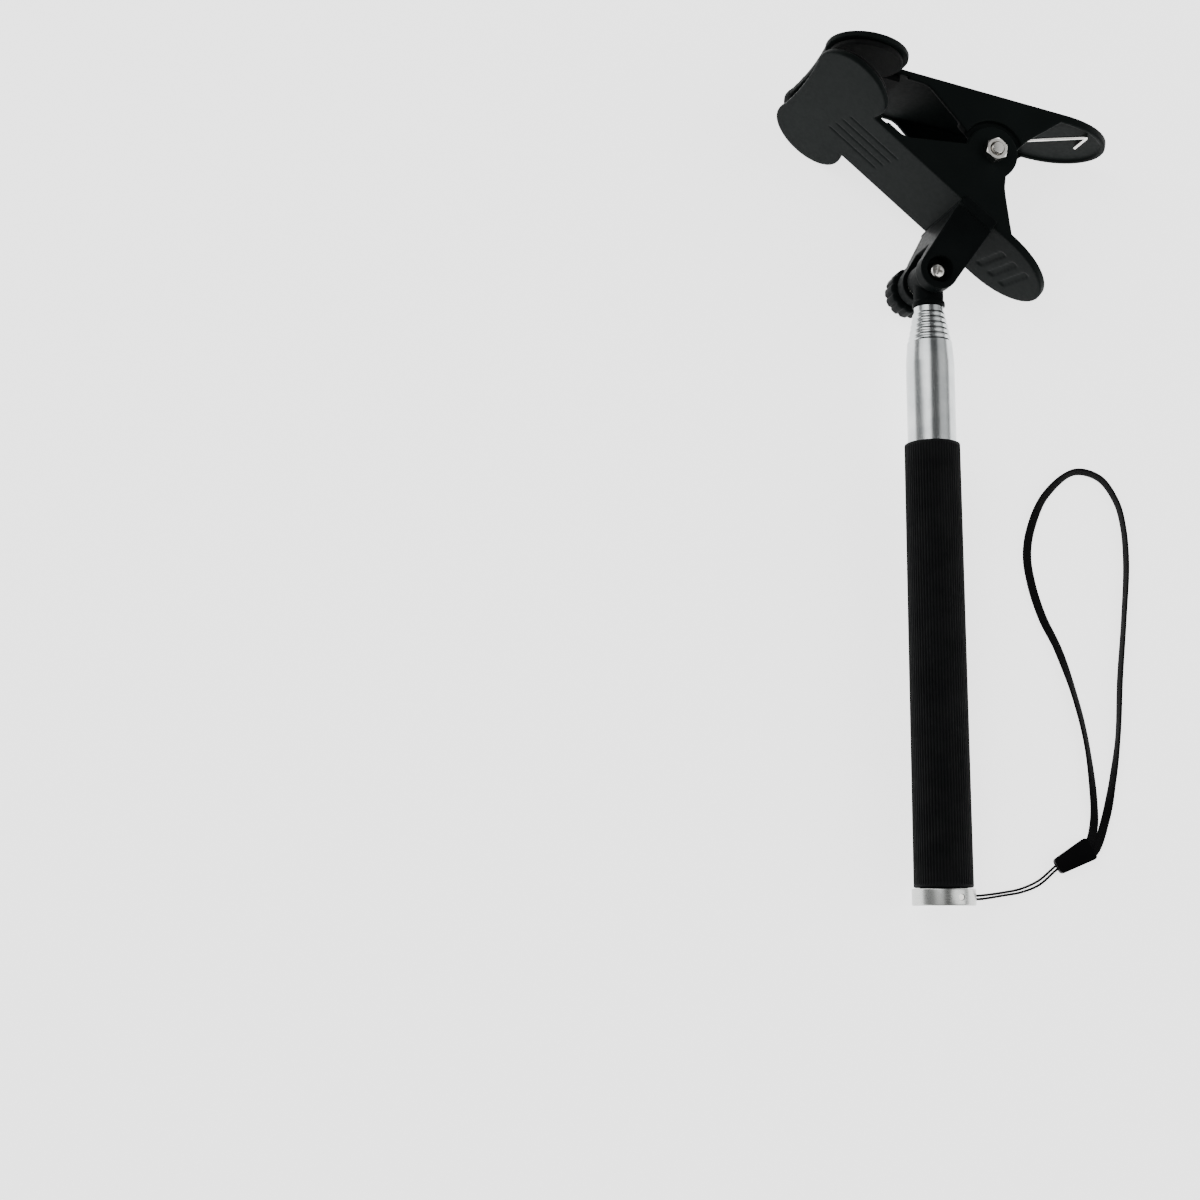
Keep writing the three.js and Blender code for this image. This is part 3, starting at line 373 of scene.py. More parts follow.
def evaluated(obj):
    """Applies the object's modifiers to its mesh."""
    bpy.context.view_layer.update()
    graph = bpy.context.evaluated_depsgraph_get()
    mesh = bpy.data.meshes.new_from_object(obj.evaluated_get(graph))
    old = obj.data
    obj.modifiers.clear()
    obj.data = mesh
    mesh.name = obj.name
    bpy.data.meshes.remove(old)
    return obj


def outward(obj):
    work = bmesh.new()
    work.from_mesh(obj.data)
    bmesh.ops.recalc_face_normals(work, faces=work.faces)
    work.to_mesh(obj.data)
    work.free()
    return obj


def object_of(name, solid, place=None):
    """An object with all its faces turned outwards."""
    return outward(object_from(name, *solid, place))


def solid_of(obj):
    """Takes an object's mesh out as a solid, and removes the object."""
    solid = ([v.co.copy() for v in obj.data.vertices], [tuple(p.vertices) for p in obj.data.polygons])
    bpy.data.objects.remove(obj)
    return solid


def boolean(obj, others, operation):
    """Cuts, intersects or joins an object with some solids, in millimetres."""
    tools = []
    for i, solid in enumerate(others):
        tool = object_of("tool", solid)
        step = obj.modifiers.new(f"step_{i}", "BOOLEAN")
        step.operation = operation
        step.solver = "EXACT"
        step.use_self = True
        step.object = tool
        tools.append(tool)
    evaluated(obj)
    for tool in tools:
        bpy.data.objects.remove(tool)
    return obj


def melted(name, solids, cuts, place, voxel, passes=6):
    """Solids fused, cut, and given the soft edges of a moulding."""
    fused = None
    for solid in solids:
        piece = object_of(name, solid)
        if fused is None:
            fused = piece
            continue
        union = fused.modifiers.new("union", "BOOLEAN")
        union.operation = "UNION"
        union.solver = "EXACT"
        union.object = piece
        evaluated(fused)
        bpy.data.objects.remove(piece)
    if cuts:
        boolean(fused, cuts, "DIFFERENCE")
    fused.name = name
    fused.data.name = name
    remesh = fused.modifiers.new("remesh", "REMESH")
    remesh.mode = "VOXEL"
    remesh.voxel_size = voxel
    smooth = fused.modifiers.new("smooth", "SMOOTH")
    smooth.factor = 0.5
    smooth.iterations = passes
    evaluated(fused)
    fused.data.transform(place)
    fused.data.update()
    return finished(fused, 60)


def spline(points, spacing):
    """Even points along a centripetal Catmull-Rom curve through some points."""
    first = points[0] * 2 - points[1]
    last = points[-1] * 2 - points[-2]
    padded = [first, *points, last]
    dense = []
    for i in range(1, len(padded) - 2):
        p0, p1, p2, p3 = padded[i - 1 : i + 3]
        t1 = max((p1 - p0).length, 1e-6) ** 0.5
        t2 = t1 + max((p2 - p1).length, 1e-6) ** 0.5
        t3 = t2 + max((p3 - p2).length, 1e-6) ** 0.5
        steps = max(4, int((p2 - p1).length / spacing * 4))
        for k in range(steps):
            t = t1 + (t2 - t1) * k / steps
            a1 = p0.lerp(p1, t / t1)
            a2 = p1.lerp(p2, (t - t1) / (t2 - t1))
            a3 = p2.lerp(p3, (t - t2) / (t3 - t2))
            b1 = a1.lerp(a2, t / t2)
            b2 = a2.lerp(a3, (t - t1) / (t3 - t1))
            dense.append(b1.lerp(b2, (t - t1) / (t2 - t1)))
    dense.append(padded[-2])
    return evenly(dense, spacing)


def evenly(points, spacing):
    lengths = [0.0]
    for a, b in zip(points, points[1:]):
        lengths.append(lengths[-1] + (b - a).length)
    count = max(2, round(lengths[-1] / spacing))
    out = []
    i = 0
    for k in range(count + 1):
        want = lengths[-1] * k / count
        while i < len(points) - 2 and lengths[i + 1] < want:
            i += 1
        span = lengths[i + 1] - lengths[i]
        out.append(points[i].lerp(points[i + 1], (want - lengths[i]) / span if span else 0))
    return out


def swept(path, section, up=Vector((0, 0, 1)), carry=False, rolls=None):
    """A skin along a path; section takes a length and gives points across and up."""
    loops = []
    normal = up
    along = 0.0
    for i, p in enumerate(path):
        ahead = path[min(i + 1, len(path) - 1)] - path[max(i - 1, 0)]
        ahead.normalize()
        base = normal if carry else up
        side = base.cross(ahead).normalized()
        normal = ahead.cross(side)
        if i:
            along += (p - path[i - 1]).length
        c, s = (math.cos(rolls[i]), math.sin(rolls[i])) if rolls else (1, 0)
        loops.append([p + side * (a * c - b * s) + normal * (a * s + b * c) for a, b in section(along)])
    return rings(loops)


# -------- materials


def shader(name, colour, roughness, metallic=0.0, frame_used=None, sheen=0.0, specular=0.5):
    """A material, its tree, its shader and a millimetre coordinate in a frame."""
    made = bpy.data.materials.new(name)
    made.use_nodes = True
    tree = made.node_tree
    surface = tree.nodes["Principled BSDF"]
    surface.inputs["Base Color"].default_value = (*colour, 1)
    surface.inputs["Roughness"].default_value = roughness
    surface.inputs["Metallic"].default_value = metallic
    surface.inputs["Sheen Weight"].default_value = sheen
    surface.inputs["Specular IOR Level"].default_value = specular
    place = tree.nodes.new("ShaderNodeTexCoord")
    mapping = tree.nodes.new("ShaderNodeMapping")
    mapping.inputs["Scale"].default_value = (1000, 1000, 1000)
    if frame_used is not None:
        mapping.inputs["Rotation"].default_value = frame_used.to_quaternion().inverted().to_euler()
    tree.links.new(place.outputs["Object"], mapping.inputs["Vector"])
    return made, tree, surface, mapping.outputs["Vector"]


def noise_of(tree, vector, scale, stretch=(1, 1, 1), detail=3.0):
    """Noise whose grain is 1/scale millimetres, stretched by an axis scale."""
    mapping = tree.nodes.new("ShaderNodeMapping")
    mapping.inputs["Scale"].default_value = stretch
    node = tree.nodes.new("ShaderNodeTexNoise")
    node.inputs["Scale"].default_value = scale
    node.inputs["Detail"].default_value = detail
    tree.links.new(vector, mapping.inputs["Vector"])
    tree.links.new(mapping.outputs["Vector"], node.inputs["Vector"])
    return node.outputs["Fac"]


def spread(tree, value, low, high, from_low=0.3, from_high=0.7):
    node = tree.nodes.new("ShaderNodeMapRange")
    node.inputs["From Min"].default_value = from_low
    node.inputs["From Max"].default_value = from_high
    node.inputs["To Min"].default_value = low
    node.inputs["To Max"].default_value = high
    tree.links.new(value, node.inputs["Value"])
    return node.outputs["Result"]


def tinted(tree, surface, value, dark, light):
    node = tree.nodes.new("ShaderNodeMix")
    node.data_type = "RGBA"
    node.inputs["A"].default_value = (*dark, 1)
    node.inputs["B"].default_value = (*light, 1)
    tree.links.new(value, node.inputs["Factor"])
    tree.links.new(node.outputs["Result"], surface.inputs["Base Color"])


def bumped(tree, surface, heights):
    """Bumps in millimetres: each entry is a value and the height it stands for."""
    normal = None
    for value, height in heights:
        node = tree.nodes.new("ShaderNodeBump")
        node.inputs["Strength"].default_value = 1.0
        node.inputs["Distance"].default_value = height * MM
        tree.links.new(value, node.inputs["Height"])
        if normal is not None:
            tree.links.new(normal, node.inputs["Normal"])
        normal = node.outputs["Normal"]
    tree.links.new(normal, surface.inputs["Normal"])


def maths(tree, operation, *values, clamp=False):
    """The result of one arithmetic node."""
    node = tree.nodes.new("ShaderNodeMath")
    node.operation = operation
    node.use_clamp = clamp
    for value, socket in zip(values, node.inputs):
        tree.links.new(value, socket)
    return node.outputs["Value"]


def edges(tree, base, amount):
    """Adds a painted edge highlight to a value where the surface is sharply convex: the colour there is lightened.
    """
    geometry = tree.nodes.new("ShaderNodeNewGeometry")
    # Painted highlight: lighter colour on sharply convex edges.
    painted_edge_highlight = spread(tree, geometry.outputs["Pointiness"], 0, amount, 0.52, 0.62)
    return maths(tree, "ADD", base, painted_edge_highlight, clamp=True)


def moulded_plastic(name, dark, light, roughness, frame_used, specular=0.014):
    made, tree, surface, mm = shader(name, dark, roughness, frame_used=frame_used, specular=specular)
    cloudy = noise_of(tree, mm, 0.06, detail=4)
    fine = noise_of(tree, mm, 3.5, detail=2)
    scuffs = noise_of(tree, mm, 0.7, detail=5)
    blotch = spread(tree, cloudy, 0, 0.7)
    # Colour mixes a random cloudy tone with a painted highlight on the convex edges.
    tinted(tree, surface, edges(tree, blotch, 0.5), dark, light)
    rough = spread(tree, scuffs, roughness - 0.05, roughness + 0.09)
    tree.links.new(rough, surface.inputs["Roughness"])
    bumped(tree, surface, [(fine, 0.012)])
    return made


def rubber(name, dark, light, frame_used, grain=0.03):
    made, tree, surface, mm = shader(name, dark, 0.7, frame_used=frame_used, sheen=0.01, specular=0.06)
    dust = noise_of(tree, mm, 0.12, detail=5)
    fine = noise_of(tree, mm, 4, detail=3)
    tinted(tree, surface, spread(tree, dust, 0, 1), dark, light)
    tree.links.new(spread(tree, fine, 0.62, 0.8), surface.inputs["Roughness"])
    bumped(tree, surface, [(fine, grain)])
    return made


def metal(name, dark, light, roughness, frame_used, stretch, scale=2.0, depth=0.004):
    """Metal with fine scratches drawn out along the axis whose stretch is smallest."""
    made, tree, surface, mm = shader(name, light, roughness, 1.0, frame_used)
    lines = noise_of(tree, mm, scale, stretch=stretch, detail=6)
    cloudy = noise_of(tree, mm, 0.15, detail=3)
    tinted(tree, surface, spread(tree, cloudy, 0, 1), dark, light)
    streaked = spread(tree, lines, roughness - 0.07, roughness + 0.07)
    tree.links.new(streaked, surface.inputs["Roughness"])
    bumped(tree, surface, [(lines, depth)])
    return made


def fabric(name, dark, light, pitch, across):
    """Woven yarn: ridges slanting both ways in the strap's own length and width."""
    made, tree, surface, mm = shader(name, dark, 0.85, sheen=0.03, specular=0.12)
    own = tree.nodes.new("ShaderNodeAttribute")
    own.attribute_name = "weave"
    waves = []
    for slant in (1, -1):
        mapping = tree.nodes.new("ShaderNodeMapping")
        mapping.inputs["Scale"].default_value = (1 / pitch, slant / across, 0)
        wave = tree.nodes.new("ShaderNodeTexWave")
        wave.wave_type = "BANDS"
        wave.bands_direction = "DIAGONAL"
        wave.inputs["Scale"].default_value = 1.0
        wave.inputs["Distortion"].default_value = 0.3
        tree.links.new(own.outputs["Vector"], mapping.inputs["Vector"])
        tree.links.new(mapping.outputs["Vector"], wave.inputs["Vector"])
        waves.append(wave.outputs["Fac"])
    fuzz = noise_of(tree, mm, 5, detail=4)
    woven = maths(tree, "MULTIPLY", *waves)
    tinted(tree, surface, spread(tree, woven, 0, 1, 0, 0.8), dark, light)
    bumped(tree, surface, [(woven, 0.12), (fuzz, 0.04)])
    return made


BLACK = (0.0062, 0.0080, 0.0077)
CHARCOAL = (0.0082, 0.0102, 0.0098)
DEEP = (0.004, 0.005, 0.005)
LOOKS = {
    "jaws": moulded_plastic("jaw_plastic", BLACK, CHARCOAL, 0.42, FRONT),
    "bracket": moulded_plastic("bracket_plastic", DEEP, (0.008, 0.0095, 0.0095), 0.4, FRONT, specular=0.012),
    "neck": moulded_plastic("neck_plastic", DEEP, (0.008, 0.009, 0.009), 0.4, POLE, specular=0.012),
    "slider": moulded_plastic("slider_plastic", (0.004, 0.004, 0.0045), (0.008, 0.008, 0.0085), 0.45, TABLE),
    "grip": rubber("grip_rubber", (0.006, 0.0065, 0.007), (0.011, 0.0115, 0.012), POLE),
    "pad": rubber("pad_rubber", (0.004, 0.0045, 0.0045), (0.009, 0.0095, 0.0095), FRONT),
    "tube": metal("tube_aluminium", (0.46, 0.485, 0.49), (0.58, 0.6, 0.6), 0.22, POLE, (6, 0.08, 6)),
    "cap": metal(
        "cap_aluminium", (0.44, 0.45, 0.44), (0.55, 0.56, 0.54), 0.27, POLE, (0.1, 9, 0.1), depth=0.006
    ),
    "steel": metal("nickel_steel", (0.62, 0.6, 0.57), (0.8, 0.79, 0.76), 0.2, FRONT, (1, 1, 1), scale=1.2),
    "brass": metal("ring_brass", (0.56, 0.4, 0.16), (0.72, 0.54, 0.26), 0.3, POLE, (0.2, 6, 0.2)),
    "nylon": rubber("white_nylon", (0.62, 0.6, 0.54), (0.74, 0.72, 0.66), FRONT, grain=0.01),
    "strap": fabric("strap_weave", (0.002, 0.002, 0.0022), (0.011, 0.011, 0.0115), 1.1, 0.8),
    "string": fabric("string_yarn", (0.003, 0.003, 0.0032), (0.014, 0.014, 0.0145), 0.8, 0.5),
}


def painted(obj, look):
    obj.data.materials.clear()
    obj.data.materials.append(LOOKS[look])


def dressed(obj, look, slot, body, *nodes):
    """Gives a piece its look, the nodes it stands for and the body it rides on; the slot argument is not used."""
    painted(obj, look)
    if nodes:
        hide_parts(*nodes)
    if body:
        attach(obj, body)
    return obj


# -------- wrist strap, first of all the pieces

TURN = (67, 97, 127, 157, 203, 233, 263, 293)  # degrees round the lanyard pin


def row_mm(local, place):
    """A point of a local frame as millimetres in the row frame."""
    return (place @ Vector(local)) / MM


exit_point = row_mm((CAP_RADIUS, LANYARD_HEIGHT, 0), POLE)
heading = math.radians(SLIDER_HEADING)
slider_origin = Vector((exit_point.x + SLIDER_AT[0], exit_point.y + SLIDER_AT[1], GAP + SLIDER_THICK / 2))
SLIDER = Matrix.Translation(slider_origin * MM) @ Matrix.Rotation(heading, 4, "Z") @ TABLE


def strap_points():
    lane = (STRAP_WIDTH + GAP) / 2
    flat = []
    for (x, y), roll in zip(STRAP_ROUTE, STRAP_ROLL):
        turn = math.radians(roll)
        half = STRAP_LIFT * (STRAP_WIDTH * math.sin(turn) + STRAP_THICK * math.cos(turn)) / 2
        flat.append(Vector((exit_point.x + x, exit_point.y + y, GAP + half)))
    start = [row_mm((SLIDER_LENGTH - inside, lane, 0), SLIDER) for inside in (STRAP_IN_SLIDER, 0)]
    end = [row_mm((SLIDER_LENGTH - inside, -lane, 0), SLIDER) for inside in (0, STRAP_IN_SLIDER)]
    return [*start, *flat, *end]


def string_points():
    lie = STRING_DIAMETER / 2 + GAP

    def in_slider(x, y):
        return row_mm((x, y, 0), SLIDER)

    def in_cap(x, y):
        return row_mm((x, LANYARD_HEIGHT + y, 0), POLE)

    def on_table(x, y, z):
        return Vector((exit_point.x + x, exit_point.y + y, z))

    turn = []
    for degrees in TURN:
        angle = math.radians(degrees)
        turn.append(in_cap(LANYARD_PIN_X + STRING_TURN * math.cos(angle), STRING_TURN * math.sin(angle)))
    return [
        in_slider(STRING_IN_SLIDER, STRING_HALF),
        in_slider(0, STRING_HALF),
        on_table(26, 7, lie + 0.3),
        on_table(19, 3.8, lie + 1.2),
        on_table(12, 2.2, exit_point.z * 0.5),
        in_cap(CAP_RADIUS + 2, STRING_HALF),
        in_cap(CAP_RADIUS - 1, STRING_HALF),
        in_cap(RECESS_RADIUS + GAP, STRING_HALF),
        *turn,
        in_cap(RECESS_RADIUS + GAP, -STRING_HALF),
        in_cap(CAP_RADIUS - 1, -STRING_HALF),
        in_cap(CAP_RADIUS + 2, -STRING_HALF),
        on_table(12, 1.1, exit_point.z * 0.5),
        on_table(19, 2.5, lie + 1),
        on_table(26, 5.3, lie),
        in_slider(0, -STRING_HALF),
        in_slider(STRING_IN_SLIDER, -STRING_HALF),
    ]


def weave_marks(obj, path, section_count, girth):
    """Stores each vertex's place along and round its cord, in millimetres."""
    marks = []
    along = 0.0
    for i, p in enumerate(path):
        if i:
            along += (p - path[i - 1]).length
        for k in range(section_count):
            marks.extend((along, girth * k / section_count, 0.0))
    attribute = obj.data.attributes.new("weave", "FLOAT_VECTOR", "POINT")
    attribute.data.foreach_set("vector", marks)


def strap_section(along):
    """A flat woven section with fuller edges, rippling a little as each weft goes by."""
    half = STRAP_WIDTH / 2
    ripple = 0.05 * math.sin(TAU * along / WEFT_PITCH)
    points = []
    for k in range(20):
        angle = TAU * k / 20
        c, s = math.cos(angle), math.sin(angle)
        across = half * math.copysign(abs(c) ** 0.55, c)
        selvedge = 0.84 + 0.16 * abs(c) ** 3
        up = STRAP_THICK / 2 * selvedge * math.copysign(abs(s) ** 0.6, s)
        points.append((across - ripple * abs(c) * math.copysign(1, c), up + ripple * s))
    return points


def string_section(along):
    """Three strands twisted together."""
    twist = TAU * along / STRING_TWIST
    points = []
    for k in range(18):
        angle = TAU * k / 18
        radius = STRING_DIAMETER / 2 * (0.93 + 0.07 * math.cos(3 * (angle - twist)))
        points.append((radius * math.cos(angle), radius * math.sin(angle)))
    return points


def strap_roll(path, points):
    """How far the strap is rolled at each point of its path, from the rolls along its route."""
    rolls = [0, 0, *STRAP_ROLL, 0, 0]
    ends = [min(range(len(path)), key=lambda i: (path[i] - p).length) for p in points]
    ends[0], ends[-1] = 0, len(path) - 1
    out = []
    for i in range(len(path)):
        k = max(n for n, end in enumerate(ends[:-1]) if end <= i)
        t = (i - ends[k]) / max(1, ends[k + 1] - ends[k])
        t = t * t * (3 - 2 * t)
        out.append(math.radians(rolls[k] + (rolls[k + 1] - rolls[k]) * t))
    return out


def make_cord(name, points, spacing, section, girth, rolled=False):
    path = spline(points, spacing)
    count = len(section(0))
    rolls = strap_roll(path, points) if rolled else None
    obj = object_of(name, swept(path, section, carry=not rolled, rolls=rolls), TABLE)
    weave_marks(obj, path, count, girth)
    return finished(obj, 60), path


strap, strap_path = make_cord(
    "wrist_strap", strap_points(), 0.275, strap_section, 2 * STRAP_WIDTH, rolled=True
)
dressed(strap, "strap", "strap_fabric", "handle", "strap_loop")
string, string_path = make_cord("wrist_string", string_points(), 0.25, string_section, 3)
dressed(string, "string", "strap_fabric", "handle", "lanyard_string")


def make_slider():
    low, high = SLIDER_LOW / 2, SLIDER_HIGH / 2
    outline = softened(
        [(0, -low), (SLIDER_LENGTH, -high), (SLIDER_LENGTH, high), (0, low)], 1.6, steps=8
    )
    body = prism(outline, -SLIDER_THICK / 2, SLIDER_THICK / 2)
    strap_half = STRAP_WIDTH + 1.5 * GAP
    strap_room = STRAP_THICK / 2 + GAP
    string_half = STRING_HALF + STRING_DIAMETER / 2 + GAP
    string_room = STRING_DIAMETER / 2 + GAP
    cuts = [
        block(SLIDER_LENGTH / 2, FAR, -strap_half, strap_half, -strap_room, strap_room),
        block(-FAR, SLIDER_LENGTH / 3, -string_half, string_half, -string_room, string_room),
    ]
    slider = melted("wrist_slider", [body], cuts, SLIDER, 0.22, passes=4)
    return dressed(slider, "slider", "slider_plastic", "handle", "strap_slider")


slider = make_slider()

# -------- pole


def tube_radius(n):
    return OUTER_RADIUS if n == 1 else SECOND_RADIUS - (n - 2) * (INNER_WALL + SLIDE_GAP)


def tube_top(n):
    return POLE_LENGTH - GAP - (TUBE_COUNT - n) * LIP_STEP


def make_tubes():
    bore = OUTER_RADIUS - OUTER_WALL
    top = tube_top(1)
    mouth = SECOND_RADIUS + SLIDE_GAP
    shoulder = top - OUTER_SHOULDER
    profile = [
        (bore, CAP_LENGTH + GAP), (OUTER_RADIUS, CAP_LENGTH + GAP), (OUTER_RADIUS, shoulder),
        (mouth + OUTER_WALL + MOUTH_RIM, top - LIP_HEIGHT),
        (mouth + OUTER_WALL + MOUTH_RIM, top - 0.6 * LIP_HEIGHT),
        (mouth + 0.12, top), (mouth, top), (mouth, top - LIP_HEIGHT), (bore, shoulder),
    ]
    tube = finished(object_of("pole_tube_1", turned(profile, 128, 0.16), POLE), 50)
    dressed(tube, "tube", "tube_aluminium", "handle", "tube_1")
    for n in range(2, TUBE_COUNT + 1):
        r = tube_radius(n)
        inner = r - INNER_WALL
        foot = CAP_LENGTH + CAP_SPIGOT + TUBE_FOOT + (n - 2) * STAGGER
        top = tube_top(n)
        bead, lip = (0, 0) if n == TUBE_COUNT else (BEAD, BEAD_LIP)
        profile = [
            (inner, foot),
            (r, foot),
            (r, top - 1.35 * LIP_HEIGHT),
            (r + bead, top - 1.1 * LIP_HEIGHT),
            (r + bead, top - 0.65 * LIP_HEIGHT),
            (r - 0.5 * lip, top - 0.15 * LIP_HEIGHT),
            (r - 1.5 * lip, top),
            (inner - lip, top),
            (inner, top - LIP_HEIGHT),
        ]
        tube = finished(object_of(f"pole_tube_{n}", turned(profile, 128, 0.12), POLE), 50)
        dressed(tube, "tube", "tube_aluminium", f"stage_{n}", f"tube_{n}")


def make_grip():
    low = CAP_LENGTH + GAP
    high = low + GRIP_LENGTH
    bore = OUTER_RADIUS + GAP
    segments = GRIP_RIBS * RIB_SAMPLES

    def plain_end(radius, edge, way):
        """Radius, height and ribbing from the bore to the first ribs."""
        steps = ((0.6, 0, 0), (0.15, 0.2, 0), (0, 0.7, 0), (0, GRIP_BAND, 0), (0, GRIP_BAND + 0.6, 1))
        return [(bore, edge, 0), *[(radius - a, edge + way * b, ribbed) for a, b, ribbed in steps]]

    stations = plain_end(GRIP_LOW_RADIUS, low, 1)
    for k in range(1, GRIP_STATIONS):
        t = k / GRIP_STATIONS
        radius = GRIP_LOW_RADIUS + (GRIP_HIGH_RADIUS - GRIP_LOW_RADIUS) * t
        stations.append((radius, low + GRIP_LENGTH * t, 1))
    stations += reversed(plain_end(GRIP_HIGH_RADIUS, high, -1))
    loops = []
    for radius, y, ribbed in stations:
        def ripple(angle, ribbed=ribbed):
            return -ribbed * RIB_DEPTH * (0.5 - 0.5 * math.cos(GRIP_RIBS * angle)) ** 2
        loops.append(circle(radius, y, segments, ripple))
    grip = finished(object_of("grip_ribbed", rings(loops, closed=True), POLE), 50)
    dressed(grip, "grip", "grip_rubber", "handle", "grip_sleeve")


def make_end_cap():
    spigot = OUTER_RADIUS - OUTER_WALL - GAP
    profile = [
        (0, RECESS_DEPTH), (RECESS_RADIUS, RECESS_DEPTH), (RECESS_RADIUS, 0), (CAP_RADIUS, 0),
        (CAP_RADIUS, CAP_LENGTH), (spigot, CAP_LENGTH),
        (spigot, CAP_LENGTH + CAP_SPIGOT), (0, CAP_LENGTH + CAP_SPIGOT),
    ]
    cap = object_of("cap_turned", turned(profile, 128, 0.5, closed=False))
    hole = circle(LANYARD_HOLE, 0, 40)
    side = [[Vector((x, LANYARD_HEIGHT + p.x, p.z)) for p in hole] for x in (3, CAP_RADIUS + 3)]
    seat = bar(LANYARD_PIN_RADIUS + GAP / 2, -FAR, FAR, LANYARD_PIN_X, LANYARD_HEIGHT, 24)
    boolean(cap, [rings(side), seat], "DIFFERENCE")
    cap.data.transform(POLE)
    dressed(finished(cap, 40), "cap", "cap_aluminium", "handle", "end_cap")


# -------- neck, bracket and tilt hinge


def make_neck():
    hinge_y = POLE_LENGTH + HINGE_RISE
    spigot = tube_radius(TUBE_COUNT) - INNER_WALL - SLIDE_GAP
    profile = [
        (0, POLE_LENGTH - SPIGOT_LENGTH), (spigot, POLE_LENGTH - SPIGOT_LENGTH), (spigot, POLE_LENGTH),
        (SKIRT_RADIUS, POLE_LENGTH), (SKIRT_RADIUS, POLE_LENGTH + SKIRT_HEIGHT),
        (NECK_RADIUS, POLE_LENGTH + SKIRT_HEIGHT + 0.8), (NECK_RADIUS, hinge_y), (0, hinge_y),
    ]
    round_part = turned(profile, 96, 0.2, closed=False)
    eye = bar(TONGUE_RADIUS, -TONGUE_HALF, TONGUE_HALF, 0, hinge_y)
    tongue_foot = hinge_y - TONGUE_RADIUS
    cuts = [
        block(-FAR, FAR, tongue_foot, hinge_y + FAR, TONGUE_HALF, FAR),
        block(-FAR, FAR, tongue_foot, hinge_y + FAR, -FAR, -TONGUE_HALF),
        bar(BOLT_RADIUS + GAP, -FAR, FAR, 0, hinge_y, 32),
    ]
    neck = melted("neck_turned", [round_part, eye], cuts, POLE, 0.18, passes=3)
    dressed(neck, "neck", "black_plastic", "head", "neck")


def make_bracket():
    seat = PLATE_HEIGHT + GAP
    span = BODY_HALF + GAP + SADDLE_LIP
    x0, x1 = HINGE_ALONG - SADDLE_BEHIND, HINGE_ALONG + SADDLE_AHEAD
    ear = [
        (HINGE_ALONG + EAR_RADIUS * math.cos(a), -HINGE_OUT + EAR_RADIUS * math.sin(a))
        for a in [math.pi + math.pi * k / 40 for k in range(41)]
    ]
    column = [(x1, -seat), (x0, -seat), *ear]
    tail = -(HINGE_OUT + EAR_RADIUS + 1)
    taper = -(HINGE_OUT - 2)
    front = [
        (BODY_HALF, -seat + 1), (BODY_HALF, -seat - SADDLE_THICK), (FORK_OUTER, taper),
        (FORK_OUTER, tail), (-FORK_OUTER, tail), (-FORK_OUTER, taper),
        (-BODY_HALF, -seat - SADDLE_THICK), (-BODY_HALF, -seat + 1),
    ]
    across = rings([[Vector((x, y, z)) for z, y in front] for x in (-FAR, FAR)])
    fork = object_of("fork", prism(column, -span, span))
    boolean(fork, [across], "INTERSECT")
    corners = [(x0, -span), (x1, -span), (x1, span), (x0, span)]
    saddle = prism(softened(corners, 1.5), seat, seat + SADDLE_THICK, "y")
    hook = PLATE_HEIGHT - PLATE + GAP
    hooks = [
        block(x0 + 0.3, x1 - 0.3, -seat - 1, -hook, *sorted((side * (BODY_HALF + GAP), side * span)))
        for side in (1, -1)
    ]
    slot_floor = -(HINGE_OUT - TONGUE_RADIUS - SLOT_CLEAR)
    cuts = [
        block(x0 - 5, x1 + 5, tail - 5, slot_floor, -FORK_INNER, FORK_INNER),
        bar(BOLT_RADIUS + GAP, -FAR, FAR, HINGE_ALONG, -HINGE_OUT, 32),
        bar(COUNTERBORE_RADIUS, COUNTERBORE_FLOOR, FAR, HINGE_ALONG, -HINGE_OUT),
        bar(KNOB_RADIUS + GAP, -FAR, -FORK_OUTER, HINGE_ALONG, -HINGE_OUT),
        *[peg(SCREW_HOLE, -PLATE_HEIGHT - 10, -PLATE_HEIGHT + 1, HINGE_ALONG, z) for z in SCREW_PLACES],
    ]
    bracket = melted("bracket_moulded", [solid_of(fork), saddle, *hooks], cuts, FRONT, 0.3, passes=12)
    dressed(bracket, "bracket", "black_plastic", "clamp", "tilt_bracket")


def z_turned(profile, x, y, segments=64, radius=0.15):
    """A body turned about a line along Z; its profile is [radius, z] and starts and ends on the line."""
    soft = softened(profile, radius, closed=False)
    loops = []
    for p in soft:
        outline = round_outline(max(p.x, 0.02), segments=segments)
        loops.append([Vector((x + a, y + b, p.y)) for a, b in outline])
    return rings(loops)


def threaded(radius, low, high, pitch=0.7, depth=0.3):
    """Profile points of a thread, drawn as rings."""
    points = []
    count = int((high - low) / pitch)
    for k in range(count):
        z = low + k * pitch
        points += [(radius - depth, z), (radius, z + pitch / 2)]
    return points


def make_hinge_bolt():
    knob_bottom = -(FORK_OUTER + 2 * GAP + KNOB_WASHER + KNOB_LENGTH)
    seat = COUNTERBORE_FLOOR + GAP
    top = seat + BOLT_HEAD
    r = BOLT_HEAD_RADIUS
    profile = [
        (0, knob_bottom + 1.2), (BOLT_RADIUS - 0.3, knob_bottom + 1.2),
        (BOLT_RADIUS, knob_bottom + 1.6), (BOLT_RADIUS, seat),
        (r, seat), (r, seat + 1.2), (0.93 * r, seat + 1.75), (0.75 * r, seat + 2.15),
        (0.4 * r, top - 0.03), (0, top),
    ]
    x, y = HINGE_ALONG, -HINGE_OUT
    bolt = object_of("hinge_screw", z_turned(profile, x, y))
    long, thin = CROSS_HALF, CROSS_THIN
    wing = [(-thin, -long), (thin, -long), (thin, long), (-thin, long)]
    turn = math.radians(CROSS_TURN)
    cross = []
    for quarter in (0, math.pi / 2):
        c, s = math.cos(turn + quarter), math.sin(turn + quarter)
        outline = [(x + a * c - b * s, y + a * s + b * c) for a, b in wing]
        cross.append(prism(outline, top - CROSS_DEPTH, top + 1))
    boolean(bolt, cross, "DIFFERENCE")
    bolt.data.transform(FRONT)
    dressed(finished(bolt, 35), "steel", "bright_steel", "clamp", "hinge_bolt")


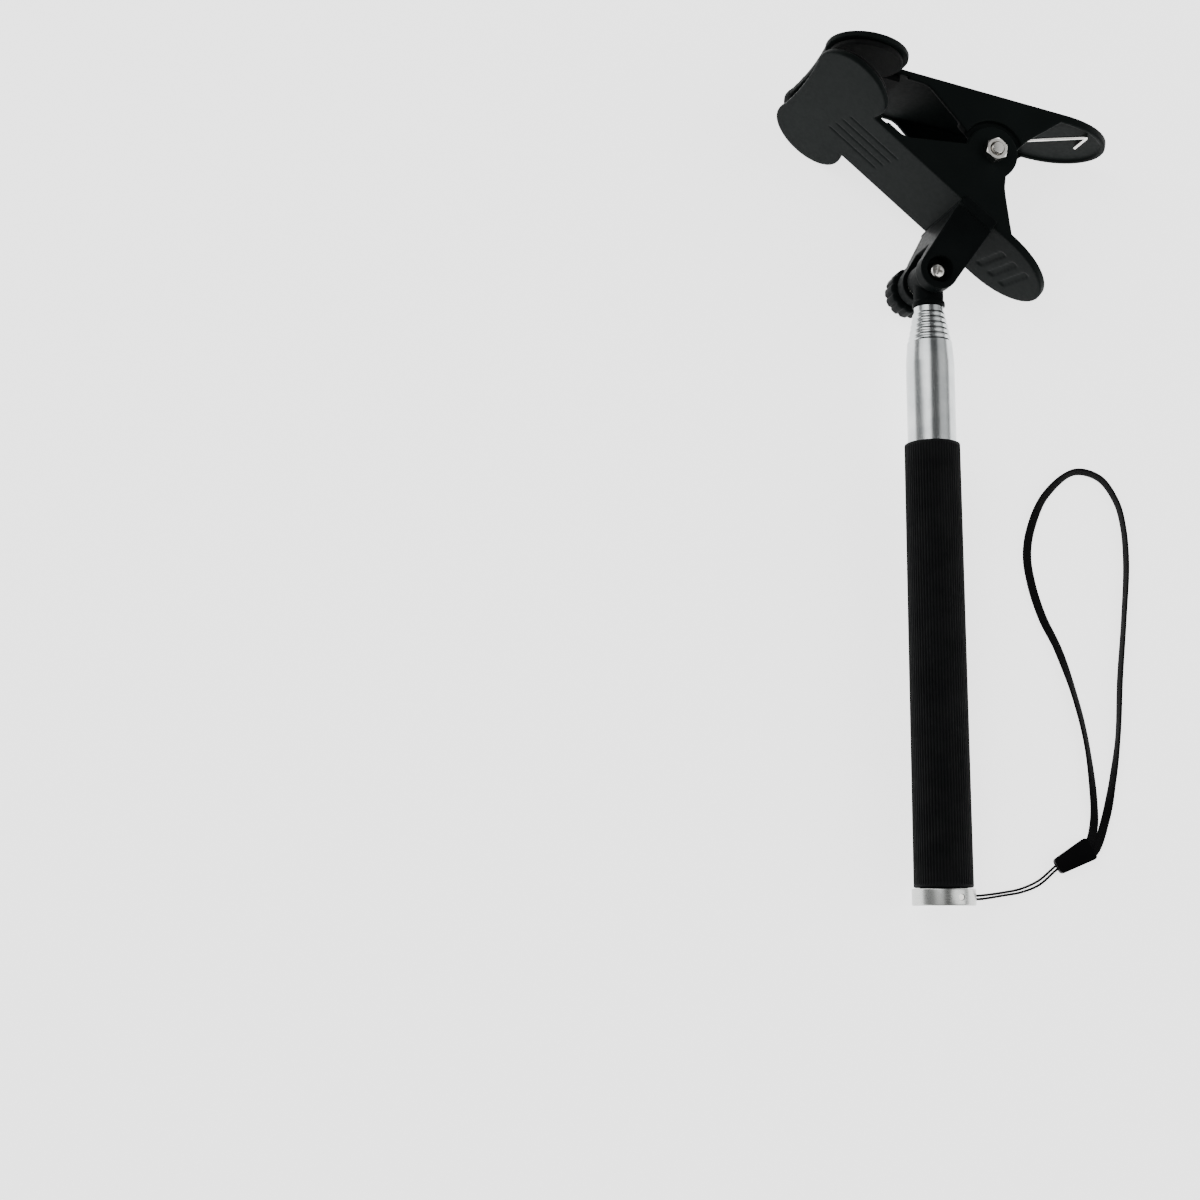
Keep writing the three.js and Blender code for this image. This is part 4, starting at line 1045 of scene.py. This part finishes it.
def make_knob():
    top = -(FORK_OUTER + 2 * GAP + KNOB_WASHER)
    bottom = top - KNOB_LENGTH
    x, y = HINGE_ALONG, -HINGE_OUT
    segments = KNOB_FLUTES * 12

    def loop(inset, z, fluted=1.0):
        points = []
        for k in range(segments):
            angle = TAU * k / segments
            flute = FLUTE_DEPTH * fluted * max(0.0, math.cos(KNOB_FLUTES * angle)) ** 2
            r = KNOB_RADIUS - inset - flute
            points.append(Vector((x + r * math.cos(angle), y + r * math.sin(angle), z)))
        return points

    bore = BOLT_RADIUS + GAP
    seat = INSERT_RADIUS + GAP
    floor = top - INSERT_LENGTH - GAP
    plain = [
        [Vector((x + a, y + b, z)) for a, b in round_outline(r, segments=segments)]
        for r, z in ((bore, bottom), (bore, floor), (seat, floor), (seat, top))
    ]
    skin = [
        *plain,
        loop(4.6, top, 0), loop(1.4, top, 0.4), loop(0.5, top - 0.2), loop(0.1, top - 0.6),
        loop(0, top - 1.3), loop(0, bottom + 1.6), loop(0.15, bottom + 0.9), loop(0.6, bottom + 0.35),
        loop(1.5, bottom, 0.6), loop(3, bottom, 0),
    ]
    knob = object_of("thumb_nut_fluted", rings(skin, closed=True), FRONT)
    dressed(finished(knob, 40), "bracket", "black_plastic", "knob", "thumb_nut")


# -------- jaws


def jaw_outline(inset, steps=40):
    half = BODY_HALF - inset
    r = LOBE_RADIUS - inset
    begin = math.asin((half - LOBE_Z) / r)
    end = math.pi + 0.3
    middle = LOBE_X - LOBE_RADIUS + inset + TOP_DIP + 0.6

    def arc(x, z, rx, rz, a, b):
        turn = [a + (b - a) * k / steps for k in range(steps + 1)]
        return [(x + rx * math.cos(t), z + rz * math.sin(t)) for t in turn]

    tip_x = LOBE_X + r * math.cos(end)
    tip_z = LOBE_Z + r * math.sin(end)
    dip = []
    for k in range(1, 12):
        t = k / 12
        x = (1 - t) ** 2 * tip_x + 2 * t * (1 - t) * middle + t * t * tip_x
        dip.append((x, tip_z * (1 - 2 * t)))
    return [
        *arc(PADDLE_X, 0, PADDLE_ROUND - inset, half, -math.pi / 2, math.pi / 2),
        *arc(LOBE_X, LOBE_Z, r, r, begin, end),
        *dip,
        *arc(LOBE_X, -LOBE_Z, r, r, -end, -begin),
    ]


def wall_outline():
    plate = -(PLATE_HEIGHT - PLATE / 2)
    neck_edge = -(PLATE_HEIGHT - NECK_DEPTH)
    rim_edge = -(PLATE_HEIGHT - RIM_DEPTH)
    corners = [
        (NECK_X, plate),
        (PADDLE_X - WALL_END, plate),
        (PADDLE_X - WALL_END, rim_edge),
        (BOSS_RADIUS * 1.2, -BOSS_RADIUS * 0.75),
        (BOSS_RADIUS * 0.94, -BOSS_RADIUS * 0.3),
        (0, 0),
        (-BOSS_RADIUS * 0.9, -BOSS_RADIUS * 0.4),
        (NECK_X + 8.2, neck_edge),
        (NECK_X, neck_edge),
    ]
    return softened(corners, 3, steps=6)


def ring_prism(depth_low, depth_high, wall):
    """The jaw's rim: its outline less the outline brought in by a wall, as one band."""
    outer, inner = jaw_outline(0), jaw_outline(wall)
    corners = ((outer, depth_low), (outer, depth_high), (inner, depth_high), (inner, depth_low))
    return rings([standing(outline, height) for outline, height in corners], closed=True)


def clipped(solid, box):
    work = object_of("clip", solid)
    boolean(work, [box], "INTERSECT")
    return solid_of(work)


def shell_solids():
    inner = PLATE_HEIGHT - PLATE
    plate = prism(jaw_outline(0), inner, PLATE_HEIGHT, "y")
    paddle = clipped(
        ring_prism(PLATE_HEIGHT - RIM_DEPTH, inner + PLATE / 2, WALL), block(0, FAR, -FAR, FAR, -FAR, FAR)
    )
    neck = clipped(
        ring_prism(PLATE_HEIGHT - NECK_DEPTH, inner + PLATE / 2, WALL), block(NECK_X, 1, -FAR, FAR, -FAR, FAR)
    )
    return [plate, paddle, neck]


def plate_cuts():
    floor = -(PLATE_HEIGHT - PLATE_GROOVE_DEPTH)
    half = PLATE_GROOVE_WIDTH / 2
    cuts = []
    for i in range(PLATE_GROOVES):
        z = (i - (PLATE_GROOVES - 1) / 2) * PLATE_GROOVE_PITCH
        start = PLATE_GROOVE_START + PLATE_GROOVE_STEP * i
        end = start + PLATE_GROOVE_LENGTH
        cuts.append(block(start, end, -PLATE_HEIGHT - 1, floor, z - half, z + half))
    for i in range(PADDLE_GROOVES):
        x = PADDLE_X + PADDLE_GROOVE_PITCH * i
        w, reach = PADDLE_GROOVE_WIDTH, PADDLE_GROOVE_HALF
        outline = softened([(x - w, -reach), (x, -reach), (x + w, reach), (x, reach)], 1.4)
        cuts.append(prism(outline, PLATE_HEIGHT - PADDLE_GROOVE_DEPTH, PLATE_HEIGHT + 1, "y"))
    return cuts


def pivot_hole():
    return bar(PIVOT_RADIUS + GAP, -FAR, FAR, 0, 0, 32)


def make_front_jaw():
    low = BODY_HALF - WALL
    walls = [prism(wall_outline(), z, z + WALL) for z in (low, -BODY_HALF)]
    bosses = [bar(BOSS_RADIUS, z, z + WALL) for z in (low, -BODY_HALF)]
    holes = [peg(SCREW_HOLE, -PLATE_HEIGHT - 5, -PLATE_HEIGHT + 5, HINGE_ALONG, z) for z in SCREW_PLACES]
    cuts = [pivot_hole(), *plate_cuts(), *holes]
    jaw = melted("jaw_front", [*shell_solids(), *walls, *bosses], cuts, FRONT, JAW_VOXEL)
    dressed(jaw, "jaws", "black_plastic", "clamp", "front_jaw")


def make_back_jaw():
    step = BODY_HALF - WALL - GAP
    inner = step - WALL
    solids = shell_solids()
    for side in (1, -1):
        def span(a, b, side=side):
            return sorted((side * a, side * b))
        wall = prism(wall_outline(), *span(BODY_HALF - WALL, BODY_HALF))
        thick = span(inner, BODY_HALF)
        layer = clipped(prism(wall_outline(), *thick), bar(JOG_LAYER, *thick))
        work = object_of("ear", wall)
        boolean(work, [layer], "UNION")
        boolean(work, [bar(JOG_RADIUS, *span(step, BODY_HALF + 1))], "DIFFERENCE")
        solids.append(solid_of(work))
        solids.append(bar(BOSS_RADIUS, *span(inner, step)))
    jaw = melted("jaw_back", solids, [pivot_hole(), *plate_cuts()], BACK, JAW_VOXEL)
    dressed(jaw, "jaws", "black_plastic", "back_half", "back_jaw")


def make_pad(name, node, body, place):
    """Ribbed rubber, with its edges turned in."""
    seat = PLATE_HEIGHT - PLATE - GLUE
    low = seat - PAD
    soft = 0.5
    layers = ((soft, seat), (0, seat - soft), (0, low + soft), (soft, low))
    full = rings([standing(jaw_outline(PAD_INSET + inset), height) for inset, height in layers])
    head = clipped(full, block(-FAR, NECK_X - 3, -FAR, FAR, -FAR, FAR))
    work = object_of(name, head)
    grooves = []
    half = PAD_GROOVE_WIDTH / 2
    for i in range(PAD_GROOVES):
        x = LOBE_X + (i - (PAD_GROOVES - 1) / 2) * PAD_GROOVE_PITCH
        floor = -low - PAD_GROOVE
        grooves.append(block(x - half, x + half, floor, -low + 1, -PAD_GROOVE_HALF, PAD_GROOVE_HALF))
    boolean(work, grooves, "DIFFERENCE")
    work.data.transform(place)
    dressed(finished(work, 35), "pad", "pad_rubber", body, node)


def hexagon(radius, low, high, bevel=0.5):
    """A hexagonal bar along Z with its corners turned off at both ends."""
    flat = radius * math.cos(math.pi / 6)
    profile = [
        (0, low), (flat, low), (radius + 0.05, low + bevel),
        (radius + 0.05, high - bevel), (flat, high), (0, high),
    ]
    work = object_of("hexagon", bar(radius, low, high, segments=6))
    boolean(work, [z_turned(profile, 0, 0, radius=0.02)], "INTERSECT")
    return solid_of(work)


def make_pivot():
    under = -(BODY_HALF + GAP)
    seat = BODY_HALF + GAP
    end = seat + PIVOT_NUT + PIVOT_END
    r = PIVOT_RADIUS
    thread = threaded(r, seat - 1, end - 0.6)
    profile = [(0, under), (r, under), (r, seat - 1), *thread, (r - 0.3, end), (0, end)]
    bolt = object_of("pivot_bolt_turned", z_turned(profile, 0, 0, radius=0.05))
    boolean(bolt, [hexagon(PIVOT_NUT_RADIUS, under - PIVOT_HEAD, under)], "UNION")
    bolt.data.transform(FRONT)
    dressed(finished(bolt, 30), "steel", "bright_steel", "clamp", "pivot_bolt")
    nut = object_of("pivot_nut_hex", hexagon(PIVOT_NUT_RADIUS, seat, seat + PIVOT_NUT))
    mouth = [(0, seat + 3.4), (r + 0.1, seat + 3.5), (r + 1, seat + 5), (0, seat + 5)]
    boolean(nut, [bar(r + GAP, -FAR, FAR), z_turned(mouth, 0, 0)], "DIFFERENCE")
    nut.data.transform(FRONT)
    dressed(finished(nut, 30), "steel", "bright_steel", "clamp", "pivot_nut")


def spring_paths():
    """Centre lines of the back leg, the coil and the front leg, in the front jaw's frame."""
    reach = abs(LOBE_X) + LOBE_RADIUS - PAD_INSET
    face = PLATE_HEIGHT - PLATE - GLUE - PAD
    a = math.acos(PAD_GAP / 2 / math.hypot(reach, face)) - math.atan2(reach, face)
    height = PLATE_HEIGHT - PLATE - GAP - WIRE_RADIUS
    tip_x = LEG_X * math.cos(a) - height * math.sin(a)
    tip_y = LEG_X * math.sin(a) + height * math.cos(a)
    leave = math.atan2(tip_y, tip_x) + math.acos(COIL_RADIUS / math.hypot(tip_x, tip_y))
    sweep = 2 * (math.pi - leave) + TAU * COIL_TURNS
    steps = 40 * COIL_TURNS
    coil = []
    for i in range(steps + 1):
        angle = leave + sweep * i / steps
        z = COIL_HALF * (1 - 2 * i / steps)
        coil.append(Vector((COIL_RADIUS * math.cos(angle), COIL_RADIUS * math.sin(angle), z)))
    knee = Vector((tip_x, tip_y, COIL_HALF)).lerp(coil[0], 0.5)
    b = LEG_BEND
    foot = [
        Vector((tip_x, tip_y, LEG_HALF - FOOT)),
        Vector((tip_x, tip_y, LEG_HALF - b)),
        Vector((tip_x - 0.3 * b, tip_y - 0.25 * b, LEG_HALF - 0.3 * b)),
        Vector((tip_x - b, tip_y - 0.8 * b, LEG_HALF)),
        Vector((knee.x, knee.y, (COIL_HALF + LEG_HALF) / 2)),
    ]
    other = [Vector((p.x, -p.y, -p.z)) for p in reversed(foot)]
    turn = Matrix.Rotation(a, 3, "Z")
    runs = ([*foot, coil[0]], coil, [coil[-1], *other])
    return [[turn @ p for p in run] for run in runs]


def wire_section(_along):
    return round_outline(WIRE_RADIUS, segments=WIRE_SIDES)


def make_spring():
    """The legs lie on the two jaws and ride with them; the coil between them is left unattached, and nothing here
    winds it up as the jaws open.
    """
    names = ("spring_leg_back", "spring_coil", "spring_leg_front")
    for name, body, run in zip(names, ("back_half", None, "clamp"), spring_paths()):
        up = Vector((1, 0, 0.2)).normalized()
        wire = object_of(name, swept(evenly(run, 0.4), wire_section, up=up, carry=True), FRONT)
        dressed(finished(wire, 60), "steel", "bright_steel", body, "torsion_spring")
        if body is None:
            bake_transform(wire)


make_tubes()
make_grip()
make_end_cap()
make_neck()
make_bracket()
make_hinge_bolt()
make_knob()
make_front_jaw()
make_back_jaw()
make_pad("pad_front_ribbed", "front_pad", "clamp", FRONT)
make_pad("pad_back_ribbed", "back_pad", "back_half", BACK)
make_pivot()
make_spring()

# -------- CAD pieces that stay

KEPT = {
    "steel": ["lanyard_pin", "bracket_screw_1", "bracket_screw_2", "knob_washer"],
    "brass": ["thumb_nut_insert", *[f"friction_ring_{n}" for n in range(2, TUBE_COUNT + 1)]],
    "nylon": ["hinge_washer_1", "hinge_washer_2", "spacer_sleeve"],
}
for look, nodes in KEPT.items():
    for node in nodes:
        painted(frame["nodes"][node], look)

# -------- floor and light


def make_floor():
    size = 3.0
    verts = [(-size, -size, 0), (size, -size, 0), (size, size, 0), (-size, size, 0)]
    floor = object_from("floor", verts, [(0, 1, 2, 3)], None)
    made, tree, surface, mm = shader("floor_pale", (0.92, 0.92, 0.92), 0.9, specular=0.1)
    tinted(tree, surface, noise_of(tree, mm, 0.01), (0.91, 0.91, 0.91), (0.93, 0.93, 0.93))
    surface.inputs["Emission Color"].default_value = (1, 1, 1, 1)
    surface.inputs["Emission Strength"].default_value = 2.3
    floor.data.materials.append(made)


def area_light(name, at, aim, size, power):
    data = bpy.data.lights.new(name, "AREA")
    data.shape = "RECTANGLE"
    data.size, data.size_y = size
    data.energy = power
    light = bpy.data.objects.new(name, data)
    bpy.context.scene.collection.objects.link(light)
    light.location = at
    light.rotation_euler = (Vector(aim) - Vector(at)).to_track_quat("-Z", "Y").to_euler()


SKY = [  # degrees from straight up towards +X, and brightness
    (-90, 0.5), (-70, 0.32), (-44, 0.34), (-34, 0.9), (-12, 0.95), (-4, 0.14),
    (28, 0.12), (38, 0.85), (66, 0.95), (80, 0.3), (90, 0.35),
]


def make_lights():
    world = bpy.data.worlds.new("studio")
    bpy.context.scene.world = world
    world.use_nodes = True
    tree = world.node_tree
    background = tree.nodes["Background"]
    place = tree.nodes.new("ShaderNodeTexCoord")
    split = tree.nodes.new("ShaderNodeSeparateXYZ")
    ramp = tree.nodes.new("ShaderNodeValToRGB")
    tree.links.new(place.outputs["Generated"], split.inputs["Vector"])
    angle = maths(tree, "ARCTAN2", split.outputs["X"], split.outputs["Z"])
    tree.links.new(spread(tree, angle, 0, 1, -math.pi / 2, math.pi / 2), ramp.inputs["Fac"])
    stops = ramp.color_ramp.elements
    while len(stops) < len(SKY):
        stops.new(0.5)
    for stop, (degrees, level) in zip(stops, SKY):
        stop.position = (degrees + 90) / 180
        stop.color = (level, level, level, 1)
    ends = maths(tree, "ABSOLUTE", split.outputs["Y"])
    overhead = maths(tree, "MULTIPLY", ramp.outputs["Color"], spread(tree, ends, 1, 0.12, 0.5, 0.75))
    horizon = spread(tree, split.outputs["Z"], 1.6, 0, 0, 0.16)
    tree.links.new(maths(tree, "MAXIMUM", overhead, horizon), background.inputs["Color"])
    background.inputs["Strength"].default_value = 1.0
    area_light("key", (-0.7, 0.5, 1.1), (0, 0, 0), (0.7, 1.2), 5)
    area_light("fill", (0.9, -0.2, 0.9), (0, 0, 0), (0.4, 1.2), 3)


make_floor()
make_lights()
